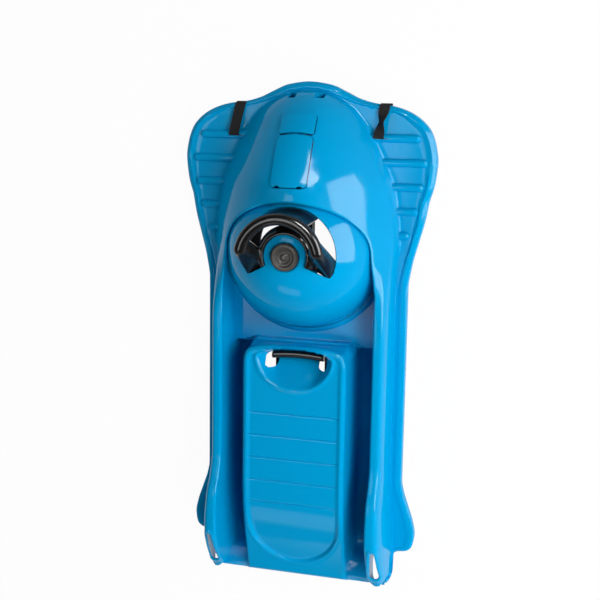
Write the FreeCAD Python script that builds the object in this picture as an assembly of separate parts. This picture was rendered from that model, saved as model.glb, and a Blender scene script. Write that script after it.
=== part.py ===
import FreeCAD, Part
import math
import os

# A steering sled in millimetres. +X is the rider's right, +Y the nose, +Z up.
# The origin lies on the ground under the middle of the overall box.

# Overall
length = 1120.0
width = 570.0
wall = 4.0
lap = 1.5
overrun = 2.0
fit = 0.05
gap = 0.3

# Plate level shared by the wings, the floor and the rail flanges
plate_top = 52.0
rim_depth = 20.0
tray_points = 120

# Hood: stations run from its rear end to the nose
hood_rear_y = 105.0
hood_front_y = 538.0
hood_half_width = 212.0
hood_rise = 160.0
hood_cap = 14.0
hood_station_shares = (0.0, 0.104, 0.217, 0.335, 0.469, 0.545, 0.672, 0.804, 0.915, 0.97, 1.0)
hood_width_shares = (0.9625, 0.981, 0.998, 0.991, 0.953, 0.922, 0.809, 0.665, 0.49, 0.33, 0.17)
hood_rise_shares = (0.50, 0.72, 0.98, 1.0, 0.985, 0.97, 0.79, 0.60, 0.39, 0.24, 0.10)
hood_fullness = (30.0, 6.0, 2.5, 2.4, 2.05, 2.0, 2.0, 2.0, 2.2, 2.4, 3.0)
section_steps = 16
arch_half_width = 162.0
arch_reach = 111.0

# Wing outline: its front as shares of the half width and the half length from the nose tip to the widest
# place, then its side as shares of the way from the rail's flange out to the half width
wing_front_shares = (
    (0.0, 1.0), (0.063, 0.998), (0.161, 0.989), (0.281, 0.964), (0.393, 0.938), (0.509, 0.921),
    (0.639, 0.913), (0.758, 0.895), (0.87, 0.86), (0.947, 0.814), (0.986, 0.755), (1.0, 0.70),
)
wing_side_shares = (
    (0.917, 0.62), (0.739, 0.555), (0.585, 0.473), (0.369, 0.391), (0.139, 0.302), (0.0, 0.214),
)
rib_count = 5
rib_first_y = 442.0
rib_pitch = 52.2
rib_radius = 9.0
rib_height = 7.0
rib_margin = 28.0
rib_inner_x = 120.0

# Nose holes for a tow line
tow_hole_x = 31.0
tow_hole_y = 531.0
tow_hole_length = 22.0
tow_hole_width = 12.0

# Side rails
rail_top = 130.0
rail_tail_rise = 40.0
rail_tail_drop = 2.0
rail_inner_x = 172.0
rail_outer_x = 196.0
rail_flare = 10.0
rail_edge = 7.0
rail_foot_inner_x = 168.0
rail_station_shares = (0.0, 0.568, 0.6435, 0.704, 0.795, 0.831, 1.0)
rail_rise_shares = (0.0, 0.0, 0.4, 0.85, 1.0, 0.95, 0.0)
rail_flare_shares = (0.0, 0.0, 0.1, 0.4, 0.9, 1.0, 1.0)
rail_end_y = -557.0
flange_width = 25.4
flange_end_y = -489.0
fin_start_y = -318.0
fin_reach = 33.0
fin_outline_shares = (
    (0.0, 0.0), (0.12, 0.17), (0.45, 0.37), (0.85, 0.60), (1.0, 0.76), (0.88, 0.92), (0.45, 1.0),
)
loop_front_y = -457.0
loop_length = 76.0
loop_width = 20.0
slit_front_y = -340.0
slit_length = 100.0
slit_width = 1.5
slit_z = 104.0

# Runner channels
runner_inner_x = 113.0
runner_outer_x = 172.0
runner_front_y = -21.0
runner_rear_y = -514.0
runner_nose = 34.0
runner_curl_share = 0.33

# Seat
seat_top = 142.0
seat_half_width = 117.0
seat_foot_y = -9.0
seat_front_y = -16.0
seat_slope_y = -385.0
seat_step_z = 77.0
seat_step_depth = 5.0
seat_groove_count = 5
seat_groove_first_y = -165.5
seat_groove_pitch = 52.2
seat_groove_half_length = 105.0
seat_groove_width = 2.0
seat_groove_depth = 1.2

# Hand scoop in the seat front
scoop_radius = 86.0
scoop_front_y = -21.0
scoop_floor_z = 80.0
scoop_notch_inner_x = 42.0
scoop_notch_outer_x = 64.0
scoop_notch_length = 50.0

# Tail between the rails
tail_z = 84.0
tail_lip = 26.0

# Steering axis, dome and the floor under it
steer_y = 197.0
dome_radius = 176.0
dome_centre_z = 48.0
dome_foot_z = 54.3
dome_boss_radius = 30.0
dome_boss_depth = 34.0
kidney_inner_radius = 47.0
kidney_outer_radius = 103.5
kidney_start_angle = -26.5
kidney_end_angle = 206.5
kidney_corner = 8.0
floor_hole_radius = 108.0
floor_hub_radius = 24.0
floor_tongue_half = 26.0
floor_boss_radius = 22.0
floor_boss_drop = 10.0
floor_boss_rise = 22.0
ring_outer_radius = 168.0
ring_rib_width = 4.0
ring_rib_height = 8.0
ring_thickness = 2.0

# Steering column and blade
column_radius = 11.0
column_bore_radius = 5.0
bush_wall = 3.0
bush_flange = 3.0
bush_lip = 2.0
thrust_collar_radius = 20.0
thrust_collar_height = 6.0
blade_thickness = 10.0
blade_front = 112.0
blade_rear = 108.0
blade_height = 26.0
blade_boss_radius = 17.0
blade_boss_top = 35.0
blade_socket_floor = 14.0
blade_curl_shares = ((-1.0, 0.75), (-0.94, 0.35), (-0.80, 0.0), (0.72, 0.0), (0.90, 0.30), (1.0, 0.85))
cross_bolt_radius = 3.0
cross_bolt_head_radius = 5.0
cross_bolt_head = 4.0
cross_bolt_z = 24.0

# Handle
grip_radius = 87.0
grip_tube_radius = 13.0
grip_z = 270.0
collar_thickness = 9.0
collar_top_z = 226.0
end_plate_angle = 24.0
end_plate_z = 184.0
end_plate_thickness = 6.0
leg_width = 24.0
web_half_angle = 32.0
web_thickness = 8.0
lip_thickness = 3.5
lip_height = 6.5

# Hub cap, bolt and washer
hub_cap_radius = 29.5
hub_cap_height = 14.0
hub_cap_wall = 3.0
hub_cap_dish_radius = 20.0
hub_cap_dish_depth = 3.0
hub_cap_button_radius = 8.0
hub_seat_z = 217.0
hub_bolt_head_radius = 8.0
hub_bolt_head = 5.0
hex_sides = 6
hub_bolt_length = 70.0
hub_washer_radius = 13.0
hub_washer_thickness = 2.0

# Storage door, its pin and the bin under it
door_half_width = 40.0
door_rear_y = 340.0
door_front_y = 448.0
door_corner = 9.0
door_arch_rise = 9.0
door_gap = 1.0
door_thickness = 3.6
door_hinge_gap = 2.0
door_pin_radius = 1.2
door_pin_inset = 4.0
door_barrel_radius = 2.4
door_barrel_sink = 0.5
door_barrel_half_length = 30.5
door_notch_x = 23.6
door_notch_length = 10.0
door_notch_depth = 4.5
door_lug_length = 8.0
bin_wall = 2.5
bin_flange = 8.0
bin_flange_thickness = 3.0
bin_half_width = 36.0
bin_rear_y = 352.0
bin_front_y = 441.0
bin_rear_floor_z = 163.0
bin_slope_y = 385.0
bin_floor_z = 112.0

# Brake
brake_bar_radius = 8.5
brake_bar_half_length = 59.0
brake_bar_y = -39.0
brake_bar_z = 106.0
brake_arm_thickness = 10.0
brake_arm_half_height = 8.5
brake_corner_y = -46.0
brake_corner_z = 64.0
brake_shaft_y = -215.0
brake_shaft_z = 68.0
brake_shaft_radius = 5.0
brake_boss_radius = 12.0
brake_tail_y = -281.0
brake_tail_z = 34.0
brake_tie_radius = 8.0
brake_lug_radius = 13.0
brake_lug_length = 10.0
claw_thickness = 3.0
claw_height = 36.0
claw_half_width = 59.0
claw_tooth_count = 6
claw_tooth_share = 0.33
claw_screw_x = 30.0
claw_screw_radius = 3.0
claw_screw_head_radius = 5.5
claw_screw_head = 3.5
clip_radius = 9.0
clip_thickness = 2.0

# Straps
strap_x = 164.0
strap_width = 23.0
strap_thickness = 2.0
strap_slot_y = 442.0
strap_slot_width = 7.0

# Small screws shared by the handle and the bearing ring
screw_radius = 2.0
screw_length = 10.0
screw_head_radius = 4.0
screw_head = 2.5
handle_screw_reaches = (64.0, 92.0)
handle_screw_angle = 14.0
handle_tab_angle = 24.0
handle_tab_thickness = 6.0
handle_boss_radius = 6.0
ring_screw_count = 6
ring_screw_turn_share = 0.5

nose_y = length / 2.0
tail_y = -length / 2.0
half_width = width / 2.0
rail_foot_x = hood_half_width * hood_width_shares[0]
flange_x = rail_foot_x + flange_width
seat_rear_y = tail_y + wall
plate_bottom = plate_top - wall
rim_bottom = plate_top - rim_depth


def vec(x, y, z):
    return FreeCAD.Vector(x, y, z)


axis_x = vec(1, 0, 0)
axis_y = vec(0, 1, 0)
axis_z = vec(0, 0, 1)


def polygon(points):
    return Part.makePolygon(points + [points[0]])


def spline(points):
    curve = Part.BSplineCurve()
    curve.interpolate(points)
    return curve.toShape()


def plan_face(points, z):
    return Part.Face(polygon([vec(x, y, z) for x, y in points]))


def prism(points, low, high):
    """A straight-sided solid over a plan outline."""
    return plan_face(points, low).extrude(vec(0, 0, high - low))


def side_prism(points, left, right):
    """A solid whose outline is drawn in Y and Z and runs along X."""
    face = Part.Face(polygon([vec(left, y, z) for y, z in points]))
    return face.extrude(vec(right - left, 0, 0))


def rod(radius, height, base, direction=axis_z):
    return Part.makeCylinder(radius, height, base, direction)


def box(x0, x1, y0, y1, z0, z1):
    return Part.makeBox(x1 - x0, y1 - y0, z1 - z0, vec(x0, y0, z0))


def mirrored(shape):
    return shape.mirror(vec(0, 0, 0), axis_x)


def joined(shapes):
    return shapes[0].multiFuse(shapes[1:]).removeSplitter()


def slot_prism(x, y, long_x, long_y, low, high):
    """An upright prism with round ends along its longer side."""
    across = min(long_x, long_y)
    radius = across / 2.0
    run = (max(long_x, long_y) - across) / 2.0
    height = high - low
    if long_x > long_y:
        core = box(x - run, x + run, y - radius, y + radius, low, high)
        ends = [rod(radius, height, vec(x + side * run, y, low)) for side in (-1, 1)]
    else:
        core = box(x - radius, x + radius, y - run, y + run, low, high)
        ends = [rod(radius, height, vec(x, y + side * run, low)) for side in (-1, 1)]
    return joined([core] + ends)


# The hood is a row of arched sections, each set by its half width, rise and fullness

def hood_y(share):
    return hood_rear_y + share * (hood_front_y - hood_rear_y)


def hood_wire(index, inset, y):
    half = hood_half_width * hood_width_shares[index] - inset
    rise = hood_rise * hood_rise_shares[index] - inset
    points = []
    for step in range(section_steps + 1):
        across = math.sin(math.pi * (step / section_steps - 0.5))
        height = rise * (1.0 - abs(across) ** hood_fullness[index])
        points.append(vec(half * across, y, plate_top + height))
    base = Part.makeLine(points[-1], points[0])
    return Part.Wire([spline(points), base])


def hood_solid(inset):
    """The whole arched form, drawn in by a wall for its hollow, which stops short of the nose."""
    wires = []
    for index, share in enumerate(hood_station_shares):
        wires.append(hood_wire(index, inset, hood_y(share)))
    form = Part.makeLoft(wires, True, False)
    if inset > 0:
        form = form.cut(box(-width, width, hood_front_y - hood_cap, length, 0, length))
    return form


def hood_footprint(inset, low, high):
    places = list(zip(hood_station_shares, hood_width_shares))
    right = [vec(hood_half_width * share - inset, hood_y(place), low) for place, share in places]
    left = [vec(-point.x, point.y, low) for point in reversed(right)]
    nose = Part.makeLine(right[-1], left[0])
    rear = Part.makeLine(left[-1], right[0])
    face = Part.Face(Part.Wire([spline(right), nose, spline(left), rear]))
    return face.extrude(vec(0, 0, high - low))


def door_outline(inset):
    """Plan of the door: square at its hinge, arched at its front, with clipped corners."""
    half = door_half_width - inset
    rear = door_rear_y + inset * door_hinge_gap / door_gap
    front = door_front_y - inset
    shoulder = front - door_arch_rise
    inner = half - door_corner
    right = [(inner, rear), (half, rear + door_corner), (half, shoulder - door_corner), (inner, shoulder)]
    left = [(-x, y) for x, y in reversed(right)]
    return right + [(0.0, front)] + left


hood_outer = hood_solid(0.0)
hood_inner = hood_solid(wall)
hood_high = plate_top + hood_rise + overrun
hood_low = plate_top - overrun

arch_points = []
for step in range(section_steps + 1):
    angle = math.pi * step / section_steps
    arch_points.append((arch_half_width * math.cos(angle), steer_y + arch_reach * math.sin(angle)))
arch_points.append((-rail_inner_x, hood_rear_y - overrun))
arch_points.append((rail_inner_x, hood_rear_y - overrun))
arch_cut = prism(arch_points, hood_low, hood_high)
door_cut = prism(door_outline(0.0), plate_top + wall, hood_high)


def tow_holes(low, high):
    holes = []
    for side in (-1, 1):
        holes.append(slot_prism(side * tow_hole_x, tow_hole_y, tow_hole_length, tow_hole_width, low, high))
    return holes


# The door's hinge axis lies under the skin just inside the door's rear edge

def hood_skin_z(y):
    """Height of the hood's crest at a place along it, read from the solid."""
    probe = Part.makeLine(vec(0, y, plate_top), vec(0, y, hood_high))
    return probe.common(hood_outer).BoundBox.ZMax


pin_y = door_rear_y + door_pin_inset
pin_z = hood_skin_z(pin_y) - door_barrel_radius - door_barrel_sink
pin_reach = door_notch_x + door_lug_length


def on_pin(radius, left, right):
    return rod(radius, right - left, vec(left, pin_y, pin_z), axis_x)


def make_hood():
    shell = hood_outer.cut(hood_inner).cut(arch_cut).cut(door_cut)
    for hole in tow_holes(hood_low, hood_high):
        shell = shell.cut(hole)
    lugs = []
    for side in (-1, 1):
        left = side * door_notch_x - door_lug_length / 2.0
        right = left + door_lug_length
        low = pin_z - door_barrel_radius
        high = pin_z + door_barrel_radius
        stem = box(left, right, door_rear_y - wall, pin_y, low, high)
        lugs.append(on_pin(door_barrel_radius, left, right).fuse(stem))
    shell = joined([shell] + lugs)
    return shell.cut(on_pin(door_pin_radius + fit, -half_width, half_width))


def wing_outline():
    spread = half_width - flange_x
    front = [vec(x * half_width, y * nose_y, rim_bottom) for x, y in wing_front_shares]
    side = [vec(flange_x + x * spread, y * nose_y, rim_bottom) for x, y in wing_side_shares]
    return front + side


def wing_face():
    edge = wing_outline()
    heel = vec(flange_x, hood_rear_y, rim_bottom)
    rear = vec(0, hood_rear_y, rim_bottom)
    ends = [edge[-1], heel, rear, edge[0]]
    lines = [Part.makeLine(start, end) for start, end in zip(ends[:-1], ends[1:])]
    return Part.Face(Part.Wire([spline(edge)] + lines))


def wing_edge_y(x):
    """How far forward the wing reaches at a place across it."""
    scan = Part.makeLine(vec(x, 0, rim_bottom), vec(x, length, rim_bottom))
    return wing_face().common(scan).BoundBox.YMax


def wing_edge_x(y):
    """How far out the wing reaches at a place along it."""
    scan = Part.makeLine(vec(0, y, rim_bottom), vec(width, y, rim_bottom))
    return wing_face().common(scan).BoundBox.XMax


def tray(face):
    """A plate with its edge turned down all round."""
    slab = face.extrude(vec(0, 0, rim_depth))
    inner = face.makeOffset2D(-wall).OuterWire.discretize(tray_points)
    hollow = Part.Face(Part.makePolygon(inner)).extrude(vec(0, 0, rim_depth - wall))
    return slab.cut(hollow)


def rib_y(index):
    return rib_first_y - index * rib_pitch


def make_wing():
    wing = tray(wing_face())
    for index in range(rib_count):
        y = rib_y(index)
        reach = wing_edge_x(y) - rib_margin
        centre_z = plate_top + rib_height - rib_radius
        bar = rod(rib_radius, reach - rib_inner_x, vec(rib_inner_x, y, centre_z), axis_x)
        ball = Part.makeSphere(rib_radius, vec(reach, y, centre_z))
        above = box(0, half_width, y - rib_pitch, y + rib_pitch, plate_bottom, hood_high)
        wing = wing.fuse(joined([bar, ball]).common(above))
    under_hood = hood_footprint(lap, 0, plate_top + overrun)
    beside_hood = hood_footprint(-gap, plate_top, hood_high)
    wing = wing.cut(under_hood).cut(beside_hood)
    slot = box(strap_x - strap_width / 2.0 - strap_thickness, strap_x + strap_width / 2.0 + strap_thickness,
               strap_slot_y - strap_slot_width / 2.0, strap_slot_y + strap_slot_width / 2.0, 0, hood_high)
    for hole in tow_holes(0, hood_high):
        wing = wing.cut(hole)
    return wing.cut(slot)


def ring_sector(inner, outer, start, end, low, high):
    """Part of an upright ring about the steering axis."""
    sector = Part.makeCylinder(outer, high - low, vec(0, steer_y, low), axis_z, end - start)
    sector.rotate(vec(0, steer_y, 0), axis_z, start)
    return sector.cut(rod(inner, high - low, vec(0, steer_y, low)))


def kidney_opening(low, high):
    """The hand opening in the dome, with round corners."""
    form = ring_sector(kidney_inner_radius, kidney_outer_radius, kidney_start_angle, kidney_end_angle,
                       low, high)
    corners = [edge for edge in form.Edges if edge.BoundBox.ZLength > (high - low) / 2.0]
    return form.makeFillet(kidney_corner, corners)


def floor_opening():
    """The round hole under the dome, less the tongue that carries the column."""
    hole = rod(floor_hole_radius, rim_depth, vec(0, steer_y, plate_bottom - overrun))
    hub = rod(floor_hub_radius, rim_depth, vec(0, steer_y, plate_bottom - overrun))
    rear = steer_y - floor_hole_radius - overrun
    tongue = box(-floor_tongue_half, floor_tongue_half, rear, steer_y, 0, hood_high)
    return hole.cut(hub).cut(tongue)


bush_outer_radius = column_radius + fit + bush_wall
boss_low = plate_bottom - floor_boss_drop
boss_high = plate_top + floor_boss_rise


def make_floor():
    front = hood_footprint(lap + gap, plate_bottom, plate_top)
    middle = box(-runner_outer_x, runner_outer_x, runner_front_y, hood_rear_y, plate_bottom, plate_top)
    step = box(-runner_inner_x, runner_inner_x, runner_front_y - overrun, seat_foot_y,
               plate_bottom, plate_top)
    floor = joined([front, middle]).cut(step).cut(floor_opening())
    boss = rod(floor_boss_radius, boss_high - boss_low, vec(0, steer_y, boss_low))
    floor = joined([floor, boss])
    floor = floor.cut(rod(bush_outer_radius, boss_high, vec(0, steer_y, 0)))
    for x, y in ring_screw_places():
        floor = floor.cut(rod(screw_radius + fit, hood_high, vec(x, y, 0)))
    open_nose = box(-width, width, tow_hole_y - tow_hole_width, length, 0, hood_high)
    return floor.cut(open_nose)


def rail_y(share):
    return hood_rear_y + share * (rail_end_y - hood_rear_y)


def rail_points(index, solid):
    """One rail section: the cockpit wall, the rounded top, the flank, the flange and its rim."""
    top = rail_top + rail_tail_rise * rail_rise_shares[index] - rail_tail_drop * rail_flare_shares[index]
    flare = rail_flare * rail_flare_shares[index]
    inner = rail_inner_x
    outer = rail_outer_x + flare
    foot = rail_foot_x + flare
    y = rail_y(rail_station_shares[index])
    skin = [(rail_foot_inner_x, plate_top), (inner, top - rail_edge), (inner + rail_edge, top),
            (outer - rail_edge, top), (outer, top - rail_edge), (foot, plate_top)]
    if solid:
        under = []
    else:
        skin += [(flange_x, plate_top), (flange_x, rim_bottom)]
        rim = flange_x - wall
        under = [(rim, rim_bottom), (rim, plate_bottom), (foot - wall, plate_bottom),
                 (outer - wall, top - rail_edge), (outer - rail_edge, top - wall),
                 (inner + rail_edge, top - wall), (inner + wall, top - rail_edge),
                 (rail_foot_inner_x + wall, plate_top)]
    return [vec(x, y, z) for x, z in skin + under]


def make_rail():
    sections = [polygon(rail_points(index, False)) for index in range(len(rail_station_shares))]
    rail = Part.makeLoft(sections, True, True)
    rear = Part.Face(polygon(rail_points(len(rail_station_shares) - 1, True)))
    rail = rail.fuse(rear.extrude(vec(0, wall, 0)))
    fin_length = flange_end_y - fin_start_y
    fin_places = [(flange_x - wall, fin_start_y)]
    for out, along in fin_outline_shares:
        fin_places.append((flange_x + out * fin_reach, fin_start_y + along * fin_length))
    fin_places.append((flange_x - wall, flange_end_y))
    fin = tray(plan_face(fin_places, rim_bottom))
    past_fin = box(rail_foot_x + rail_flare, width, rail_end_y - overrun, flange_end_y, 0, plate_top)
    low_rim = box(rail_foot_inner_x, width, rail_end_y - overrun, flange_end_y, 0, plate_bottom)
    rail = joined([rail.cut(past_fin).cut(low_rim), fin])
    loop_x = (rail_inner_x + rail_outer_x + rail_flare) / 2.0
    loop_y = loop_front_y - loop_length / 2.0
    rail = rail.cut(slot_prism(loop_x, loop_y, loop_width, loop_length, plate_top, hood_high))
    slit = box(rail_outer_x, width, slit_front_y - slit_length, slit_front_y,
               slit_z, slit_z + slit_width)
    return rail.cut(slit)


def make_runner():
    """A hollow keel under the channel beside the seat, curved up at both ends."""
    curl = runner_nose * runner_curl_share
    outline = [(runner_front_y, plate_top), (runner_front_y, runner_nose), (runner_front_y - curl, curl),
               (runner_front_y - runner_nose, 0.0), (runner_rear_y + runner_nose, 0.0),
               (runner_rear_y + curl, curl), (runner_rear_y, runner_nose), (runner_rear_y, plate_top)]
    inner = [(runner_front_y - wall, plate_top + overrun), (runner_front_y - wall, runner_nose + wall),
             (runner_front_y - runner_nose, wall), (runner_rear_y + runner_nose, wall),
             (runner_rear_y + wall, runner_nose + wall), (runner_rear_y + wall, plate_top + overrun)]
    body = side_prism(outline, runner_inner_x, runner_outer_x)
    return body.cut(side_prism(inner, runner_inner_x + wall, runner_outer_x - wall))


def seat_block(inset, low):
    """The seat's outer form, drawn in by a wall for its hollow."""
    half = seat_half_width - inset
    top = seat_top - inset
    foot = seat_foot_y - inset
    rear = seat_rear_y + inset
    step = seat_step_z - inset
    side = [(foot, low), (foot, step), (foot - seat_step_depth, step), (seat_front_y - inset, top - wall),
            (seat_front_y - wall - inset, top), (seat_slope_y, top), (rear, tail_z - inset), (rear, low)]
    return side_prism(side, -half, half)


def scoop_plan(inset, low, high):
    radius = scoop_radius - inset
    disc = rod(radius, high - low, vec(0, scoop_front_y, low))
    behind = box(-radius, radius, scoop_front_y - length, scoop_front_y, low, high)
    return disc.common(behind)


def brake_lugs():
    lugs = []
    for side in (-1, 1):
        start = side * (seat_half_width - wall)
        centre = vec(start, brake_shaft_y, brake_shaft_z)
        lugs.append(rod(brake_lug_radius, brake_lug_length, centre, vec(-side, 0, 0)))
    return lugs


def make_seat():
    shell = seat_block(0.0, plate_top).cut(seat_block(wall, plate_top - overrun))
    for index in range(seat_groove_count):
        y = seat_groove_first_y - index * seat_groove_pitch
        groove = box(-seat_groove_half_length, seat_groove_half_length, y - seat_groove_width / 2.0,
                     y + seat_groove_width / 2.0, seat_top - seat_groove_depth, seat_top + overrun)
        shell = shell.cut(groove)
    shell = shell.cut(scoop_plan(0.0, plate_top, seat_top + overrun))
    rear_y = scoop_front_y - scoop_radius
    floor_line = [(scoop_front_y, scoop_floor_z), (scoop_front_y, scoop_floor_z - wall),
                  (rear_y, seat_top - wall), (rear_y, seat_top)]
    floor = side_prism(floor_line, -scoop_radius, scoop_radius).common(scoop_plan(0.0, 0, seat_top))
    above = [(scoop_front_y, scoop_floor_z), (rear_y, seat_top), (scoop_front_y, seat_top)]
    cup = scoop_plan(0.0, 0, seat_top).cut(scoop_plan(wall, 0, seat_top))
    cup = cup.common(side_prism(above, -scoop_radius, scoop_radius))
    scoop = joined([floor, cup])
    for side in (-1, 1):
        left = min(side * scoop_notch_inner_x, side * scoop_notch_outer_x)
        right = max(side * scoop_notch_inner_x, side * scoop_notch_outer_x)
        notch_rear = scoop_front_y - scoop_notch_length
        scoop = scoop.cut(box(left, right, notch_rear, scoop_front_y + overrun, 0, seat_top))
    shell = joined([shell, scoop] + brake_lugs())
    shaft_hole = rod(brake_shaft_radius + fit, width, vec(-half_width, brake_shaft_y, brake_shaft_z), axis_x)
    inner_half = seat_half_width - wall
    return shell.cut(shaft_hole.common(box(-inner_half, inner_half, tail_y, nose_y, 0, seat_top)))


def make_tail():
    """The deck behind the seat, between the rails, with its edge turned down."""
    lip_low = tail_z - tail_lip
    line = [(runner_rear_y, plate_top), (tail_y + wall, tail_z - wall), (tail_y + wall, lip_low),
            (tail_y, lip_low), (tail_y, tail_z), (runner_rear_y, plate_top + wall)]
    deck = side_prism(line, -rail_foot_inner_x, rail_foot_inner_x)
    return deck.cut(seat_block(0.0, 0))


def at_steer(radius, low, high):
    return rod(radius, high - low, vec(0, steer_y, low))


def sphere(radius):
    return Part.makeSphere(radius, vec(0, steer_y, dome_centre_z))


dome_top_z = dome_centre_z + dome_radius


def make_dome():
    shell = sphere(dome_radius).cut(sphere(dome_radius - wall))
    keep = box(-width, width, steer_y - length, steer_y + length, dome_foot_z, dome_top_z + overrun)
    shell = shell.common(keep)
    shell = shell.cut(kidney_opening(plate_top, dome_top_z + overrun))
    bosses = [at_steer(dome_boss_radius, hub_seat_z - dome_boss_depth, dome_top_z)]
    for place in handle_screw_places(end_plate_z):
        bosses.append(rod(handle_boss_radius, dome_top_z - end_plate_z, place))
    dome = joined([shell, joined(bosses).common(sphere(dome_radius))])
    dome = dome.cut(at_steer(hub_cap_radius - hub_cap_wall, hub_seat_z, dome_top_z + overrun))
    dome = dome.cut(at_steer(column_bore_radius + fit, 0, dome_top_z))
    for place in handle_screw_places(end_plate_z - handle_tab_thickness):
        dome = dome.cut(rod(screw_radius + fit, screw_length + gap, place))
    return dome


def steer_point(angle, radius, z):
    turn = math.radians(angle)
    return vec(radius * math.cos(turn), steer_y + radius * math.sin(turn), z)


def handle_screw_places(z):
    places = []
    for angle in (kidney_start_angle - handle_screw_angle, kidney_end_angle + handle_screw_angle):
        for reach in handle_screw_reaches:
            places.append(steer_point(angle, reach, z))
    return places


def make_handle():
    """Collar round the hub, end plates in the kidney's ends, two legs, a web and the horseshoe grip."""
    collar = ring_sector(kidney_inner_radius + gap, kidney_inner_radius + collar_thickness,
                         kidney_start_angle, kidney_end_angle, end_plate_z, collar_top_z)
    plates = []
    for start, side in ((kidney_start_angle, -1), (kidney_end_angle, 1)):
        ends = sorted((start, start - side * end_plate_angle))
        plates.append(ring_sector(kidney_inner_radius + gap, kidney_outer_radius - gap, ends[0], ends[1],
                                  end_plate_z, end_plate_z + end_plate_thickness))
        ends = sorted((start + side * handle_tab_angle, start - side * end_plate_angle))
        plates.append(ring_sector(kidney_inner_radius + gap, kidney_outer_radius - gap, ends[0], ends[1],
                                  end_plate_z - handle_tab_thickness, end_plate_z))
    lip = ring_sector(kidney_outer_radius - gap - lip_thickness, kidney_outer_radius - gap,
                      kidney_start_angle, kidney_end_angle, end_plate_z, end_plate_z + lip_height)
    grip = Part.makeTorus(grip_radius, grip_tube_radius, vec(0, steer_y, grip_z), axis_z, 0, 360, 180)
    balls = []
    legs = []
    for angle, foot_angle in ((0.0, kidney_start_angle + end_plate_angle / 2.0),
                              (180.0, kidney_end_angle - end_plate_angle / 2.0)):
        high = steer_point(angle, grip_radius, grip_z)
        low = steer_point(foot_angle, grip_radius, end_plate_z)
        balls.append(Part.makeSphere(grip_tube_radius, high))
        way = high.sub(low)
        legs.append(Part.makeCylinder(leg_width / 2.0, way.Length, low, way))
    below = box(-half_width, half_width, 0, length, 0, end_plate_z - handle_tab_thickness)
    inner = vec(kidney_inner_radius + collar_thickness / 2.0, 0, collar_top_z - web_thickness)
    outer = vec(grip_radius, 0, grip_z)
    strip = [vec(inner.x, 0, inner.z), vec(outer.x, 0, outer.z),
             vec(outer.x, 0, outer.z - web_thickness), vec(inner.x, 0, inner.z - web_thickness)]
    web = Part.Face(polygon(strip)).revolve(vec(0, 0, 0), axis_z, 2.0 * web_half_angle)
    web.rotate(vec(0, 0, 0), axis_z, 90.0 - web_half_angle)
    web.translate(vec(0, steer_y, 0))
    handle = joined([collar, lip, grip, web] + plates + balls + legs).cut(below)
    for place in handle_screw_places(end_plate_z - handle_tab_thickness):
        handle = handle.cut(rod(screw_radius + fit, handle_tab_thickness, place))
    return handle.cut(make_dome())


def make_handle_screws():
    """Screws driven upwards through the handle's tabs into the dome."""
    screws = []
    for place in handle_screw_places(end_plate_z - handle_tab_thickness):
        shank = rod(screw_radius, screw_length, place)
        head = rod(screw_head_radius, screw_head, place.sub(vec(0, 0, screw_head)))
        screws.append(joined([shank, head]))
    return Part.makeCompound(screws)


def make_hub_cap():
    """A dished cap with a ring and a middle button, turned as one profile."""
    low = hub_seat_z
    high = hub_seat_z + hub_cap_height
    outer = hub_cap_radius - hub_cap_wall - fit
    brim = dome_top_z + gap
    shape = at_steer(outer, low, brim).fuse(at_steer(hub_cap_radius, brim, high))
    shape = shape.cut(at_steer(outer - hub_cap_wall, low - overrun, high - hub_cap_wall - hub_cap_dish_depth))
    shape = shape.cut(at_steer(hub_cap_dish_radius, high - hub_cap_dish_depth, high + overrun))
    button = at_steer(hub_cap_button_radius, high - hub_cap_dish_depth, high)
    cap = joined([shape, button])
    level = [edge for edge in cap.Edges if edge.BoundBox.ZLength < gap]
    rims = [edge for edge in level if abs(edge.BoundBox.ZMin - high) < gap]
    return cap.makeFillet(hub_cap_dish_depth / 2.0, rims)


def make_hub_bolt():
    seat = hub_seat_z + hub_washer_thickness
    head = [steer_point(360.0 * side / hex_sides, hub_bolt_head_radius, seat) for side in range(hex_sides)]
    body = Part.Face(polygon(head)).extrude(vec(0, 0, hub_bolt_head))
    return joined([body, at_steer(column_bore_radius, seat - hub_bolt_length, seat)])


column_top_z = hub_seat_z - dome_boss_depth


def make_column():
    column = at_steer(column_radius, blade_socket_floor, column_top_z)
    depth = hub_seat_z + hub_washer_thickness - hub_bolt_length
    column = column.cut(at_steer(column_bore_radius + fit, depth - overrun, column_top_z + overrun))
    return column.cut(cross_hole(fit))


def cross_hole(room):
    reach = blade_boss_radius + cross_bolt_head + overrun
    return rod(cross_bolt_radius + room, 2.0 * reach, vec(-reach, steer_y, cross_bolt_z), axis_x)


def make_bush(upper):
    """A flanged sleeve pressed into one end of the floor's boss."""
    middle = (boss_low + boss_high) / 2.0
    flange_radius = bush_outer_radius + bush_flange
    if upper:
        sleeve = at_steer(bush_outer_radius, middle, boss_high)
        flange = at_steer(flange_radius, boss_high, boss_high + bush_lip)
    else:
        sleeve = at_steer(bush_outer_radius, boss_low, middle)
        flange = at_steer(flange_radius, boss_low - bush_lip, boss_low)
    return joined([sleeve, flange]).cut(at_steer(column_radius + fit, 0, hood_high))


def make_thrust_collar():
    low = boss_high + bush_lip + gap
    collar = at_steer(thrust_collar_radius, low, low + thrust_collar_height)
    return collar.cut(at_steer(column_radius, 0, hood_high))


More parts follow.
